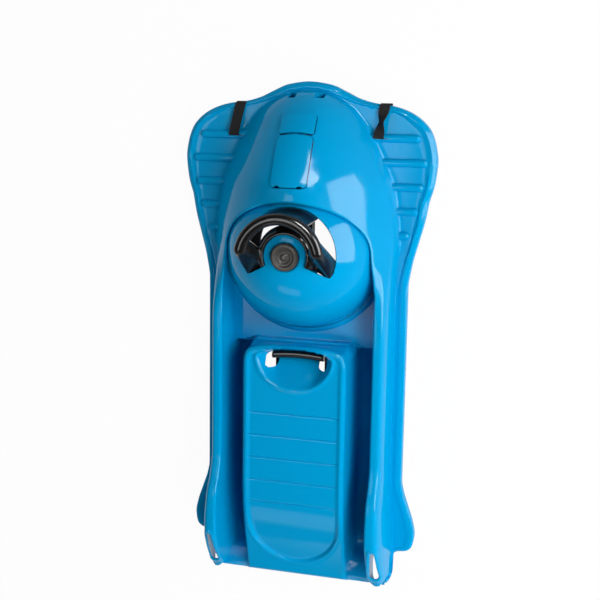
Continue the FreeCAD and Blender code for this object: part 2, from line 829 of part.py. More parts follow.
def make_blade():
    """A narrow runner with turned-up ends and a socket for the column."""
    points = []
    for along, up in blade_curl_shares:
        reach = blade_rear if along < 0 else blade_front
        points.append((steer_y + along * reach, up * blade_height))
    points.append((steer_y + blade_boss_radius, blade_height))
    points.append((steer_y - blade_boss_radius, blade_height))
    blade = side_prism(points, -blade_thickness / 2.0, blade_thickness / 2.0)
    boss = at_steer(blade_boss_radius, blade_socket_floor - wall, blade_boss_top)
    blade = joined([blade, boss])
    return blade.cut(at_steer(column_radius + fit, blade_socket_floor, hood_high)).cut(cross_hole(fit))


def make_cross_bolt():
    start = -blade_boss_radius
    reach = 2.0 * blade_boss_radius + cross_bolt_head
    shank = rod(cross_bolt_radius, reach, vec(start, steer_y, cross_bolt_z), axis_x)
    head_start = vec(start - cross_bolt_head, steer_y, cross_bolt_z)
    head = rod(cross_bolt_head_radius, cross_bolt_head, head_start, axis_x)
    return joined([shank, head])


def make_cross_nut():
    nut = rod(cross_bolt_head_radius, cross_bolt_head, vec(blade_boss_radius, steer_y, cross_bolt_z), axis_x)
    return nut.cut(cross_hole(fit))


def make_bearing_ring():
    base = at_steer(ring_outer_radius, plate_top, plate_top + ring_thickness)
    guide = at_steer(ring_outer_radius, plate_top, plate_top + ring_rib_height)
    guide = guide.cut(at_steer(ring_outer_radius - ring_rib_width, 0, hood_high))
    ring = joined([base, guide]).cut(at_steer(floor_hole_radius, 0, hood_high))
    for screw_x, screw_y in ring_screw_places():
        ring = ring.cut(rod(screw_radius + fit, hood_high, vec(screw_x, screw_y, 0)))
    return ring


def ring_screw_places():
    reach = (floor_hole_radius + ring_outer_radius - ring_rib_width) / 2.0
    places = []
    for index in range(ring_screw_count):
        turn = 2.0 * math.pi * (index + ring_screw_turn_share) / ring_screw_count
        places.append((reach * math.cos(turn), steer_y + reach * math.sin(turn)))
    return places


def make_door():
    """The lid is cut from the hood's own skin, with a hinge barrel notched for the hood's two lugs."""
    lid = hood_outer.cut(hood_solid(door_thickness))
    lid = lid.common(prism(door_outline(door_gap), plate_top + wall, hood_high))
    barrel = on_pin(door_barrel_radius, -door_barrel_half_length, door_barrel_half_length)
    door = joined([lid, barrel])
    for side in (-1, 1):
        left = side * door_notch_x - door_notch_length / 2.0
        right = left + door_notch_length
        door = door.cut(box(left, right, door_rear_y, pin_y + door_notch_depth, plate_top, hood_high))
    return door.cut(on_pin(door_pin_radius + fit, -half_width, half_width))


def make_door_pin():
    return on_pin(door_pin_radius, -pin_reach, pin_reach)


def bin_line(inset):
    rear = bin_rear_y + inset
    front = bin_front_y - inset
    return [(rear, hood_high), (rear, bin_rear_floor_z + inset), (bin_slope_y, bin_floor_z + inset),
            (front, bin_floor_z + inset), (front, hood_high)]


def make_bin():
    """A tub hung under the door opening by a flange that follows the hood's inner skin."""
    tub = side_prism(bin_line(0.0), -bin_half_width, bin_half_width)
    tub = tub.cut(side_prism(bin_line(bin_wall), bin_wall - bin_half_width, bin_half_width - bin_wall))
    flange = hood_inner.cut(hood_solid(wall + bin_flange_thickness))
    outer = bin_half_width + bin_flange
    flange = flange.common(box(-outer, outer, bin_rear_y, bin_front_y + bin_flange, 0, hood_high))
    mouth = box(-bin_half_width, bin_half_width, bin_rear_y, bin_front_y, 0, hood_high)
    return joined([tub.common(hood_inner), flange.cut(mouth)])


def brake_arm():
    """One side arm: down from the bar, back to the shaft and on to the tie that carries the claw."""
    points = [(brake_bar_y, brake_bar_z), (brake_corner_y, brake_corner_z), (brake_shaft_y, brake_shaft_z),
              (brake_tail_y, brake_tail_z)]
    radii = (brake_arm_half_height, brake_arm_half_height, brake_boss_radius, brake_arm_half_height)
    left = -brake_arm_thickness / 2.0
    pieces = []
    for (y0, z0), (y1, z1) in zip(points[:-1], points[1:]):
        run = math.hypot(y1 - y0, z1 - z0)
        out_y = -(z1 - z0) / run * brake_arm_half_height
        out_z = (y1 - y0) / run * brake_arm_half_height
        outline = [(y0 + out_y, z0 + out_z), (y1 + out_y, z1 + out_z),
                   (y1 - out_y, z1 - out_z), (y0 - out_y, z0 - out_z)]
        pieces.append(side_prism(outline, left, -left))
    for (y, z), radius in zip(points, radii):
        pieces.append(rod(radius, brake_arm_thickness, vec(left, y, z), axis_x))
    return joined(pieces)


def make_brake_lever():
    reach = brake_bar_half_length - brake_arm_thickness / 2.0
    arms = []
    for side in (-1, 1):
        arm = brake_arm()
        arm.translate(vec(side * reach, 0, 0))
        arms.append(arm)
    span = 2.0 * brake_bar_half_length
    bar = rod(brake_bar_radius, span, vec(-brake_bar_half_length, brake_bar_y, brake_bar_z), axis_x)
    tie = rod(brake_tie_radius, span, vec(-brake_bar_half_length, brake_tail_y, brake_tail_z), axis_x)
    lever = joined(arms + [bar, tie])
    bore_start = vec(-half_width, brake_shaft_y, brake_shaft_z)
    lever = lever.cut(rod(brake_shaft_radius + fit, width, bore_start, axis_x))
    flat = claw_face_y()
    lever = lever.cut(box(-half_width, half_width, flat - length, flat, 0, hood_high))
    return lever.cut(claw_screw_set(fit, 0.0))


def claw_face_y():
    return brake_tail_y - brake_tie_radius / 2.0


def claw_screw_set(room, head):
    face = claw_face_y()
    screws = []
    for side in (-1, 1):
        start = vec(side * claw_screw_x, face - claw_thickness, brake_tail_z)
        shank = rod(claw_screw_radius + room, claw_thickness + brake_tie_radius, start, axis_y)
        if head > 0:
            cap = rod(claw_screw_head_radius, head, start.sub(vec(0, head, 0)), axis_y)
            shank = joined([shank, cap])
        screws.append(shank)
    return Part.makeCompound(screws)


def make_claw():
    """A steel plate with a toothed lower edge, screwed to the rear of the lever."""
    face = claw_face_y()
    high = brake_tail_z + brake_arm_half_height
    low = high - claw_height
    pitch = 2.0 * claw_half_width / claw_tooth_count
    root = low + claw_height * claw_tooth_share
    points = [vec(-claw_half_width, face, high), vec(-claw_half_width, face, root)]
    for index in range(claw_tooth_count):
        left = -claw_half_width + index * pitch
        points.append(vec(left + pitch / 2.0, face, low))
        points.append(vec(left + pitch, face, root))
    points.append(vec(claw_half_width, face, high))
    plate = Part.Face(polygon(points)).extrude(vec(0, -claw_thickness, 0))
    return plate.cut(claw_screw_set(fit, 0.0))


def make_brake_shaft():
    reach = seat_half_width - wall
    return rod(brake_shaft_radius, 2.0 * reach, vec(-reach, brake_shaft_y, brake_shaft_z), axis_x)


def make_brake_clips():
    clips = []
    for side in (-1, 1):
        start = side * (brake_bar_half_length + gap)
        clip = rod(clip_radius, clip_thickness, vec(start, brake_shaft_y, brake_shaft_z), vec(side, 0, 0))
        bore = rod(brake_shaft_radius, width, vec(-half_width, brake_shaft_y, brake_shaft_z), axis_x)
        clips.append(clip.cut(bore))
    return Part.makeCompound(clips)


def make_strap():
    """A flat sewn loop from the slot, forward over the wing's edge and back under it."""
    left = strap_x - strap_width / 2.0
    right = strap_x + strap_width / 2.0
    rear = strap_slot_y - strap_slot_width / 2.0 + gap
    front = max(wing_edge_y(left), wing_edge_y(right)) + gap
    low = rim_bottom - gap
    crown = plate_top + rib_height + gap
    crown_end = rib_y(0) + rib_radius + strap_slot_width
    inner = [(rear + strap_thickness, low), (rear + strap_thickness, crown), (crown_end, crown),
             (front - rim_depth, plate_top + gap), (front, plate_top + gap), (front, low)]
    outer = [(rear, low - strap_thickness), (rear, crown + strap_thickness),
             (crown_end, crown + strap_thickness),
             (front - rim_depth, plate_top + gap + strap_thickness),
             (front + strap_thickness, plate_top + gap + strap_thickness),
             (front + strap_thickness, low - strap_thickness)]
    return side_prism(outer, left, right).cut(side_prism(inner, left, right))


def screw(x, y, top):
    """A small round-headed screw driven downwards."""
    shank = rod(screw_radius, screw_length, vec(x, y, top - screw_length))
    return joined([shank, rod(screw_head_radius, screw_head, vec(x, y, top))])


def make_ring_screws():
    top = plate_top + ring_thickness
    return Part.makeCompound([screw(x, y, top) for x, y in ring_screw_places()])


nodes = {}
nodes["hood_shell"] = make_hood()
nodes["right_wing"] = make_wing()
nodes["floor_pan"] = make_floor()
nodes["right_rail"] = make_rail()
nodes["right_runner"] = make_runner()
nodes["seat_deck"] = make_seat()
nodes["tail_deck"] = make_tail()
nodes["right_strap"] = make_strap()
for piece in ("wing", "rail", "runner", "strap"):
    nodes["left_" + piece] = mirrored(nodes["right_" + piece])
nodes["storage_door"] = make_door()
nodes["door_hinge_pin"] = make_door_pin()
nodes["storage_bin"] = make_bin()
nodes["steering_dome"] = make_dome()
nodes["steering_handle"] = make_handle()
nodes["handle_screws"] = make_handle_screws()
nodes["hub_cap"] = make_hub_cap()
nodes["hub_bolt"] = make_hub_bolt()
nodes["hub_washer"] = at_steer(hub_washer_radius, hub_seat_z, hub_seat_z + hub_washer_thickness).cut(
    at_steer(column_bore_radius + fit, 0, dome_top_z))
nodes["steering_column"] = make_column()
nodes["upper_column_bush"] = make_bush(True)
nodes["lower_column_bush"] = make_bush(False)
nodes["thrust_collar"] = make_thrust_collar()
nodes["steering_blade"] = make_blade()
nodes["blade_cross_bolt"] = make_cross_bolt()
nodes["blade_cross_nut"] = make_cross_nut()
nodes["bearing_ring"] = make_bearing_ring()
nodes["bearing_ring_screws"] = make_ring_screws()
nodes["brake_lever"] = make_brake_lever()
nodes["brake_claw"] = make_claw()
nodes["claw_screws"] = claw_screw_set(0.0, claw_screw_head)
nodes["brake_shaft"] = make_brake_shaft()
nodes["brake_shaft_clips"] = make_brake_clips()

os.makedirs("parts", exist_ok=True)
for name, shape in sorted(nodes.items()):
    shape.exportStep("parts/" + name + ".step")
    solids = len(shape.Solids)
    print(name, "solids", solids, "valid", shape.isValid(), "volume", round(shape.Volume / 1000.0, 1), "cm3")
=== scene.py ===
import bmesh
import bpy
import math
import numpy as np
from mathutils import Matrix, Vector


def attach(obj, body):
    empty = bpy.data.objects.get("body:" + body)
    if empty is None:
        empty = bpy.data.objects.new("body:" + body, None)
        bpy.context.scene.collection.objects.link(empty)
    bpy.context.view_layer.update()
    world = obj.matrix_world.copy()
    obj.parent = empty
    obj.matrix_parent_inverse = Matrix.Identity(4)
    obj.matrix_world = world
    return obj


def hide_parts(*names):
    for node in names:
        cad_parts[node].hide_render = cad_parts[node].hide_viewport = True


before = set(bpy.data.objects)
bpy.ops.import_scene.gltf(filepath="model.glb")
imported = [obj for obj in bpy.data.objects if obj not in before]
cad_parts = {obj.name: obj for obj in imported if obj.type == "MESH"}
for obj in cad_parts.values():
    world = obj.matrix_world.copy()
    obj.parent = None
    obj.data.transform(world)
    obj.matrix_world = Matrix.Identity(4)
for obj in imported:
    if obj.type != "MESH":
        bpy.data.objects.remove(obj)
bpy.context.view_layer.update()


# Hull moulding. The hood, the two wings and the two side rails are one thick sheet of blue plastic, drawn
# over a mould: a turned-down rim all round, a beaded edge, foot ribs, push loops and a lip round the dome.
# Its sizes are millimetres, and each sheet is worked out as a height over the plan.

mm = 0.001
plate_top = 52.0
hull_wall = 4.0
rail_inner_x = 172.0
rail_rear_y = -557.0
steer_y = 197.0
arch_half_width = 162.0
arch_reach = 111.0
lip_radius = 6.0
least_ring = 0.01
least_slope = 0.001
least_length = 1e-6

hood_places = (105, 150, 199, 250, 308, 341, 396, 453, 501, 525, 533, 538, 540, 541)
hood_halves = (204, 208, 211.5, 210, 202, 195.5, 171.5, 141, 104, 69, 51, 30, 17, 1)
hood_rises = (80, 115, 157, 161.5, 160.5, 155, 131, 98, 62, 38, 26, 13, 6, 0)
hood_fullness = (10, 5, 2.7, 2.4, 2.05, 2, 2, 2, 2.2, 2.4, 2.6, 2.8, 3, 3)
shoulder_span = (40.0, 215.0)
rail_places = (-557, -545, -525, -495, -445, -421, -361, -321, -271, 105)
rail_tops = (102, 110, 126, 146, 166, 168, 163, 145, 130, 130)
rail_flares = (10, 10, 10, 10, 10, 9, 4, 1, 0, 0)
rail_fullness = 7.0


def curve_through(places, values, at):
    """A smooth curve through given values, which never swings past them."""
    places = np.asarray(places, float)
    values = np.asarray(values, float)
    at = np.clip(np.asarray(at, float), places[0], places[-1])
    spans = np.diff(places)
    rises = np.diff(values) / spans
    slopes = np.concatenate(([rises[0]], np.zeros(len(rises) - 1), [rises[-1]]))
    same_way = rises[:-1] * rises[1:] > 0
    both = np.where(same_way, rises[:-1] + rises[1:], 1.0)
    slopes[1:-1] = np.where(same_way, 2.0 * rises[:-1] * rises[1:] / both, 0.0)
    index = np.clip(np.searchsorted(places, at, side="right") - 1, 0, len(spans) - 1)
    span = spans[index]
    t = (at - places[index]) / span
    start = (1.0 + 2.0 * t) * (1.0 - t) ** 2 * values[index] + t * (1.0 - t) ** 2 * span * slopes[index]
    end = t * t * (3.0 - 2.0 * t) * values[index + 1] + t * t * (t - 1.0) * span * slopes[index + 1]
    return start + end


def eased(value, low, high):
    """0 below low and 1 above high, with a smooth way between."""
    t = np.clip((np.asarray(value, float) - low) / (high - low), 0.0, 1.0)
    return t * t * (3.0 - 2.0 * t)


def rounded_max(first, second, reach):
    """The higher of two heights, with a fillet where they meet."""
    mix = np.clip(0.5 + 0.5 * (first - second) / reach, 0.0, 1.0)
    return second * (1.0 - mix) + first * mix + reach * mix * (1.0 - mix)


def slot_distance(x, y, middle, half_x, half_y, corner):
    """How far a place lies outside a rectangle with round corners."""
    out_x = np.abs(x - middle[0]) - half_x + corner
    out_y = np.abs(y - middle[1]) - half_y + corner
    outside = np.hypot(np.maximum(out_x, 0.0), np.maximum(out_y, 0.0))
    return outside + np.minimum(np.maximum(out_x, out_y), 0.0) - corner


def arch_distance(x, y):
    """How far a place on the hull lies outside the opening for the dome and the cockpit."""
    along = np.maximum(y - steer_y, 0.0)
    x = np.abs(x)
    ring = np.hypot(x / arch_half_width, along / arch_reach)
    steep = np.hypot(x / arch_half_width ** 2, along / arch_reach ** 2) / np.maximum(ring, least_ring)
    front = (ring - 1.0) / np.maximum(steep, least_slope)
    return np.where(y > steer_y, front, x - cockpit_edge(y))


def cockpit_edge(y):
    """The inner edge's distance from the middle beside the cockpit."""
    return np.interp(y, (hood_places[0], steer_y), (rail_inner_x, arch_half_width))


bead_height = 4.2
bead_crown = (-3.0, 6.0)
bead_foot = (8.5, 14.0)
bead_rail_share = 0.3
bead_fade_y = (60.0, 220.0)


def plate_height(y, from_edge):
    """The wing plate with its raised edge band, which is lower along the rails."""
    height = bead_height * (bead_rail_share + (1.0 - bead_rail_share) * eased(y, *bead_fade_y))
    return plate_top + height * eased(from_edge, *bead_crown) * (1.0 - eased(from_edge, *bead_foot))


loop_ends = ((191.0, -460.0, 4.5), (190.5, -523.5, 11.0))
loop_lip = 3.2
loop_lip_middle = 5.0
loop_lip_spread = 3.6


def loop_distance(x, y):
    """How far a place lies outside the push loop's hole, a drop that widens towards the rear."""
    front, rear = loop_ends
    share = np.clip((front[1] - y) / (front[1] - rear[1]), 0.0, 1.0)
    middle = front[0] + share * (rear[0] - front[0])
    past = y - (front[1] + share * (rear[1] - front[1]))
    return np.hypot(np.abs(x) - middle, past) - (front[2] + share * (rear[2] - front[2]))


outer_share = 1.2
foot_fillet = 7.0


def hull_height(x, y, from_edge):
    """The height of the moulding's top over a place in plan."""
    half = curve_through(hood_places, hood_halves, y)
    rise = curve_through(hood_places, hood_rises, y)
    fullness = curve_through(hood_places, hood_fullness, y)
    across = np.minimum(np.abs(x) / half, outer_share)
    hood = plate_top + rise * (1.0 - across ** fullness)
    top = curve_through(rail_places, rail_tops, y)
    foot = hood_halves[0] + curve_through(rail_places, rail_flares, y)
    across = np.clip((np.abs(x) - rail_inner_x) / (foot - rail_inner_x), 0.0, outer_share)
    rail = plate_top + (top - plate_top) * (1.0 - across ** rail_fullness)
    share = eased(y, *shoulder_span)
    body = rail * (1.0 - share) + hood * share
    body = body + loop_lip * np.exp(-((loop_distance(x, y) - loop_lip_middle) / loop_lip_spread) ** 2)
    height = rounded_max(body, plate_height(y, from_edge), foot_fillet)
    near = np.clip(lip_radius - arch_distance(x, y), 0.0, lip_radius)
    return height - (lip_radius - np.sqrt(lip_radius ** 2 - near ** 2))


# Each control rung runs from the outer edge over the foot of the hood or rail to the inner edge:
# outer x, outer y, foot y, inner place (0 to 1 crest line, 1 to 2 arch, 2 to 3 cockpit, 3 to 4 rail, where
# it follows from the foot) and how many rungs follow it.
crest_front_y = 505.0
rungs = (
    (0, 560, 541, 0.0, 8), (46, 554, 536, 0.06, 8), (80, 540, 525, 0.15, 7), (112, 525, 514, 0.23, 7),
    (145, 516, 501, 0.31, 7), (182, 511, 482, 0.40, 7), (216, 501, 466, 0.48, 8), (248, 482, 453, 0.55, 9),
    (270, 456, 436, 0.64, 9), (281, 423, 415, 0.72, 9), (285, 392, 392, 0.80, 14), (280.4, 347, 350, 0.93, 9),
    (274.5, 323, 326, 1.0, 8), (270.5, 311, 310, 1.12, 16), (261.9, 265, 258, 1.52, 16),
    (249.9, 219, 208, 1.92, 12), (237.1, 169, 165, 2.4, 12), (229.4, 120, 120, 2.85, 6),
    (229.4, 105, 105, 3.0, 16), (229.4, 0, 0, 3, 40), (229.4, -318, -318, 3, 6), (233.4, -347, -345, 3, 6),
    (244.3, -381, -380, 3, 8), (257.5, -421, -420, 3, 8), (262.4, -448, -445, 3, 10),
    (258.4, -475, -465, 3, 8), (244.3, -487, -478, 3, 6), (226.0, -490, -487, 3, 5),
    (218.0, -497, -495, 3, 16), (217.5, -525, -525, 3, 20), (217.0, -557, -557, 3, 0),
)
crest_rung = 12
rim_depths = [20.0] * 27 + [8.0, 4.0, 4.0, 4.0]
rim_radius = 5.0


def inner_edge(place):
    """A place along the inner edge of the moulding."""
    turn = np.clip(place - 1.0, 0.0, 1.0) * math.pi / 2.0
    crest_y = np.interp(place, (0, 1), (crest_front_y, steer_y + arch_reach))
    arch_x = arch_half_width * np.sin(turn)
    arch_y = steer_y + arch_reach * np.cos(turn)
    rear_y = np.interp(place, (2, 3, 4), (steer_y, hood_places[0], rail_rear_y))
    x = np.where(place < 2.0, arch_x, cockpit_edge(rear_y))
    y = np.where(place < 1.0, crest_y, np.where(place < 2.0, arch_y, rear_y))
    return x, y


def clustered(count):
    """Places from 0 to 1, close together at both ends."""
    return 0.5 - 0.5 * np.cos(np.pi * np.arange(count + 1) / count)


def hull_rungs():
    """All rungs as places along the controls."""
    places = [np.arange(rung[4]) / rung[4] + index for index, rung in enumerate(rungs) if rung[4]]
    return np.concatenate(places + [[len(rungs) - 1.0]])


rim_step = 0.02
rim_shares = (1.0, 0.7, 0.4)
rim_turns = 6
plate_columns = 15
hood_columns = 40
controls = np.array(rungs, float)
along_rail = controls[:, 2] < hood_places[0]
controls[along_rail, 3] += (hood_places[0] - controls[along_rail, 2]) / (hood_places[0] - rail_rear_y)


def rim_line(at):
    """The outline's places, level where it crosses the middle of the nose."""
    order = np.arange(len(rungs))
    at = np.clip(at, 0.0, len(rungs) - 1.0)
    x, y = [curve_through(order, controls[:, column], at) for column in (0, 1)]
    first, second = controls[0, 1], controls[1, 1]
    around = curve_through(order, controls[:, 1], np.array((1.0 - rim_step, 1.0 + rim_step)))
    slope = (around[1] - around[0]) / (2.0 * rim_step)
    level = first + (second - first) * (3.0 - 2.0 * at) * at ** 2 + slope * (at - 1.0) * at ** 2
    return x, np.where(at < 1.0, level, y)


def hull_grid(at, with_wall):
    """The right half of the moulding over the given rungs, as rows of points from the rim inwards."""
    order = np.arange(len(rungs))
    edge = rim_line(at)
    ahead = rim_line(at + rim_step)
    behind = rim_line(at - rim_step)
    tangent = np.stack((ahead[0] - behind[0], ahead[1] - behind[1]))
    tangent /= np.maximum(np.hypot(*tangent), least_length)
    inward = np.stack((tangent[1], -tangent[0]))
    foot_y = curve_through(order, controls[:, 2], at)
    foot_x = np.where(foot_y > hood_places[0], curve_through(hood_places, hood_halves, foot_y),
                      hood_halves[0] + curve_through(rail_places, rail_flares, foot_y))
    foot_x = np.where(at == 0, 0.0, foot_x)
    inner_x, inner_y = inner_edge(np.interp(at, order, controls[:, 3]))
    depth = curve_through(order, rim_depths, at)
    columns = []
    radius = np.minimum(rim_radius, depth)
    for share in rim_shares:
        columns.append((edge[0], edge[1], plate_top - radius - share * (depth - radius)))
    for turn in np.linspace(0.0, math.pi / 2.0, rim_turns)[:-1]:
        set_in = radius * (1.0 - math.cos(turn))
        columns.append((edge[0] + inward[0] * set_in, edge[1] + inward[1] * set_in,
                        plate_top - radius + radius * math.sin(turn)))
    start_x = edge[0] + inward[0] * radius
    start_y = edge[1] + inward[1] * radius
    for share in clustered(plate_columns)[:-1]:
        x = start_x + share * (foot_x - start_x)
        y = start_y + share * (foot_y - start_y)
        away = np.hypot(x - start_x, y - start_y)
        columns.append((x, y, hull_height(x, y, away)))
    for share in clustered(hood_columns):
        x = foot_x + share * (inner_x - foot_x)
        y = foot_y + share * (inner_y - foot_y)
        columns.append((x, y, hull_height(x, y, np.hypot(x - start_x, y - start_y))))
    if with_wall:
        columns += cockpit_wall(columns[-1])
    return np.stack([np.stack(column, -1) for column in columns], 1)


cockpit_foot_x = 168.0
arch_turn_down = 15.0
wall_columns = 9
wall_power = 1.5
wall_lap = 0.4
wall_fade = (-10.0, 55.0)


def cockpit_wall(edge):
    """The wall below the inner edge: a short turned-down lip round the dome, and the rails' inner sides."""
    x, y, z = edge
    share = eased(y - hood_places[0], *wall_fade)
    low_x = cockpit_foot_x * (1.0 - share) + x * share
    low_z = (plate_top + wall_lap) * (1.0 - share) + (z - arch_turn_down) * share
    steps = np.linspace(0.0, 1.0, wall_columns + 1)[1:]
    return [(x + (low_x - x) * step ** wall_power, y, z + (low_z - z) * step) for step in steps]


def new_object(name, data):
    """A new object in the scene."""
    piece = bpy.data.objects.new(name, data)
    bpy.context.scene.collection.objects.link(piece)
    return piece


def new_mesh(name, points, faces):
    """A new piece from points in metres and faces."""
    mesh = bpy.data.meshes.new(name)
    mesh.from_pydata([tuple(point) for point in points], [], faces)
    return new_object(name, mesh)


def reworked(piece, *changes):
    """Runs changes on a piece's mesh, each given the work mesh."""
    work = bmesh.new()
    work.from_mesh(piece.data)
    for change in changes:
        change(work)
    work.to_mesh(piece.data)
    work.free()


sheet_gap = 0.02
sliver_gap = 0.01


def turn_outward(work):
    """A change that turns all faces of closed forms outward."""
    bmesh.ops.recalc_face_normals(work, faces=work.faces)


def weld(gap):
    """A change that merges points closer than the gap."""
    return lambda work: bmesh.ops.remove_doubles(work, verts=work.verts, dist=gap * mm)


def drop_slivers(work):
    """A change that takes out faces without area."""
    bmesh.ops.dissolve_degenerate(work, edges=work.edges, dist=sliver_gap * mm)


def sheet_from(name, grids, both_sides=True):
    """One mesh from grids of points in millimetres, with a mirrored copy of each where asked."""
    points = []
    faces = []
    count = 0
    for grid in grids:
        copies = [grid]
        if both_sides:
            copies.append(np.flip(grid * (-1, 1, 1), 1))
        for copy in copies:
            rows, columns = copy.shape[:2]
            points.append(copy.reshape(-1, 3) * mm)
            index = count + np.arange(rows * columns).reshape(rows, columns)
            corners = (index[:-1, :-1], index[:-1, 1:], index[1:, 1:], index[1:, :-1])
            faces += np.stack([corner.ravel() for corner in corners], 1).tolist()
            count += rows * columns
    piece = new_mesh(name, np.concatenate(points), faces)
    reworked(piece, weld(sheet_gap), drop_slivers)
    return piece


punch_step = 0.05
punch_turns = 3
punch_least_slope = 0.1


def punch(piece, distance, height=None):
    """Cuts a hole where the distance is under zero, and draws its edge onto the true outline."""
    work = bmesh.new()
    work.from_mesh(piece.data)
    gone = []
    for face in work.faces:
        middle = face.calc_center_median() / mm
        if distance(middle.x, middle.y) < 0.0:
            gone.append(face)
    edge_before = {vert for vert in work.verts if vert.is_boundary}
    bmesh.ops.delete(work, geom=gone, context="FACES")
    step = punch_step
    for vert in work.verts:
        if vert.is_boundary and vert not in edge_before:
            for turn in range(punch_turns):
                x, y = vert.co.x / mm, vert.co.y / mm
                off = float(distance(x, y))
                slope_x = float(distance(x + step, y) - distance(x - step, y)) / (2.0 * step)
                slope_y = float(distance(x, y + step) - distance(x, y - step)) / (2.0 * step)
                steep = max(slope_x ** 2 + slope_y ** 2, punch_least_slope)
                vert.co.x -= off * slope_x / steep * mm
                vert.co.y -= off * slope_y / steep * mm
            if height:
                vert.co.z = float(height(vert.co.x / mm, vert.co.y / mm)) * mm
    work.to_mesh(piece.data)
    work.free()


def thicken(piece, wall):
    """Gives a sheet its wall, on the side that its faces turn away from."""
    solid = piece.modifiers.new("wall", "SOLIDIFY")
    solid.thickness = wall * mm
    solid.offset = -1.0
    solid.use_quality_normals = True
    settle(piece)


def settle(piece):
    """Turns a piece with modifiers into its plain mesh."""
    graph = bpy.context.evaluated_depsgraph_get()
    mesh = bpy.data.meshes.new_from_object(piece.evaluated_get(graph))
    piece.modifiers.clear()
    piece.data = mesh


plain_crease = 35.0


def shade(piece, material, angle=plain_crease):
    """One material over the whole piece, smooth but for edges sharper than the angle."""
    piece.data.materials.clear()
    piece.data.materials.append(material)
    piece.data.shade_smooth()
    piece.data.set_sharp_from_angle(angle=math.radians(angle))


def dress(piece, body, slot, *nodes):
    """Says which body carries a piece and which solids it stands for; the slot argument, its finish, is not
    used.
    """
    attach(piece, body)
    if nodes:
        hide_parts(*nodes)


def add_node(tree, kind, links=None, values=None, operation=None):
    """A new node with its incoming links, values and operation; sockets go by name or number."""
    node = tree.nodes.new(kind)
    if operation:
        node.operation = operation
    for socket, value in (values or {}).items():
        node.inputs[socket].default_value = value
    for socket, source in (links or {}).items():
        tree.links.new(source, node.inputs[socket])
    return node


def node_group(name, inputs, outputs):
    """An empty shader group with named sockets; returns it with its input and output nodes."""
    group = bpy.data.node_groups.new(name, "ShaderNodeTree")
    for word, kind, value in inputs:
        socket = group.interface.new_socket(word, in_out="INPUT", socket_type=kind)
        socket.default_value = value
    for word, kind in outputs:
        group.interface.new_socket(word, in_out="OUTPUT", socket_type=kind)
    return group, group.nodes.new("NodeGroupInput"), group.nodes.new("NodeGroupOutput")


def make_moulded_group():
    """Moulded plastic: a faint cloudiness in the colour, handling scuffs and a shallow orange peel."""
    colour_kind = "NodeSocketColor"
    float_kind = "NodeSocketFloat"
    group, given, result = node_group(
        "moulded_plastic",
        (("Colour", colour_kind, (0, 0, 0, 1)), ("Cloud", float_kind, 0.05), ("Roughness", float_kind, 0.2),
         ("Scuff", float_kind, 0.1), ("Peel", float_kind, 0.03)),
        (("Colour", colour_kind), ("Roughness", float_kind), ("Normal", "NodeSocketVector")))
    place = add_node(group, "ShaderNodeTexCoord").outputs["Object"]
    cloud = add_node(group, "ShaderNodeTexNoise", {"Vector": place}, {"Scale": 9.0, "Detail": 3.0})
    shift = add_node(group, "ShaderNodeMath", {0: cloud.outputs["Fac"]}, {1: 0.5}, "SUBTRACT")
    amount = add_node(group, "ShaderNodeMath",
                      {0: shift.outputs[0], 1: given.outputs["Cloud"]}, {2: 1.0}, "MULTIPLY_ADD")
    tone = add_node(group, "ShaderNodeHueSaturation",
                    {"Color": given.outputs["Colour"], "Value": amount.outputs[0]})
    scratch = add_node(group, "ShaderNodeTexNoise",
                       {"Vector": place}, {"Scale": 60.0, "Detail": 6.0, "Distortion": 1.5})
    limit = add_node(group, "ShaderNodeMapRange",
                     {"Value": scratch.outputs["Fac"]}, {"From Min": 0.52, "From Max": 0.75})
    rough = add_node(group, "ShaderNodeMath",
                     {0: limit.outputs["Result"], 1: given.outputs["Scuff"], 2: given.outputs["Roughness"]},
                     None, "MULTIPLY_ADD")
    peel = add_node(group, "ShaderNodeTexNoise", {"Vector": place}, {"Scale": 320.0, "Detail": 1.0})
    bump = add_node(group, "ShaderNodeBump",
                    {"Strength": given.outputs["Peel"], "Height": peel.outputs["Fac"]}, {"Distance": 0.0004})
    group.links.new(tone.outputs["Color"], result.inputs["Colour"])
    group.links.new(rough.outputs[0], result.inputs["Roughness"])
    group.links.new(bump.outputs["Normal"], result.inputs["Normal"])
    return group


moulded_group = make_moulded_group()


def moulded(name, colour, cloud, roughness, scuff, peel, gloss=0.07, metallic=0.0):
    """A material of moulded plastic, paint or metal around the shared group."""
    material = bpy.data.materials.new(name)
    material.use_nodes = True
    nodes = material.node_tree.nodes
    link = material.node_tree.links.new
    shader = nodes["Principled BSDF"]
    group = nodes.new("ShaderNodeGroup")
    group.node_tree = moulded_group
    given = {"Colour": (*colour, 1.0), "Cloud": cloud, "Roughness": roughness, "Scuff": scuff, "Peel": peel}
    for word, value in given.items():
        group.inputs[word].default_value = value
    for word, socket in (("Colour", "Base Color"), ("Roughness", "Roughness"), ("Normal", "Normal")):
        link(group.outputs[word], shader.inputs[socket])
    shader.inputs["Specular IOR Level"].default_value = gloss
    shader.inputs["Metallic"].default_value = metallic
    return material


hull_colour = (0.0, 0.31, 0.62)
hull_blue = moulded("hull_blue", hull_colour, 0.06, 0.09, 0.08, 0.02)

all_rungs = hull_rungs()
nose_grid = hull_grid(all_rungs[all_rungs <= crest_rung], False)
rear_grid = hull_grid(all_rungs[all_rungs >= crest_rung], True)
rail_end_middle = 194.0
rail_end_start = -533.0
rail_end_reach = 26.0
rail_end_low = 82.0
rail_end_foot = 30.0
rail_end_lift = (522.0, 557.0)
rail_end_lift_y = -520.0
rail_end_most_share = 0.98
rail_end_bulge = 1.2
rail_end_drop = 2.0
rail_end_shares = (0.6, 0.25, 0.0)


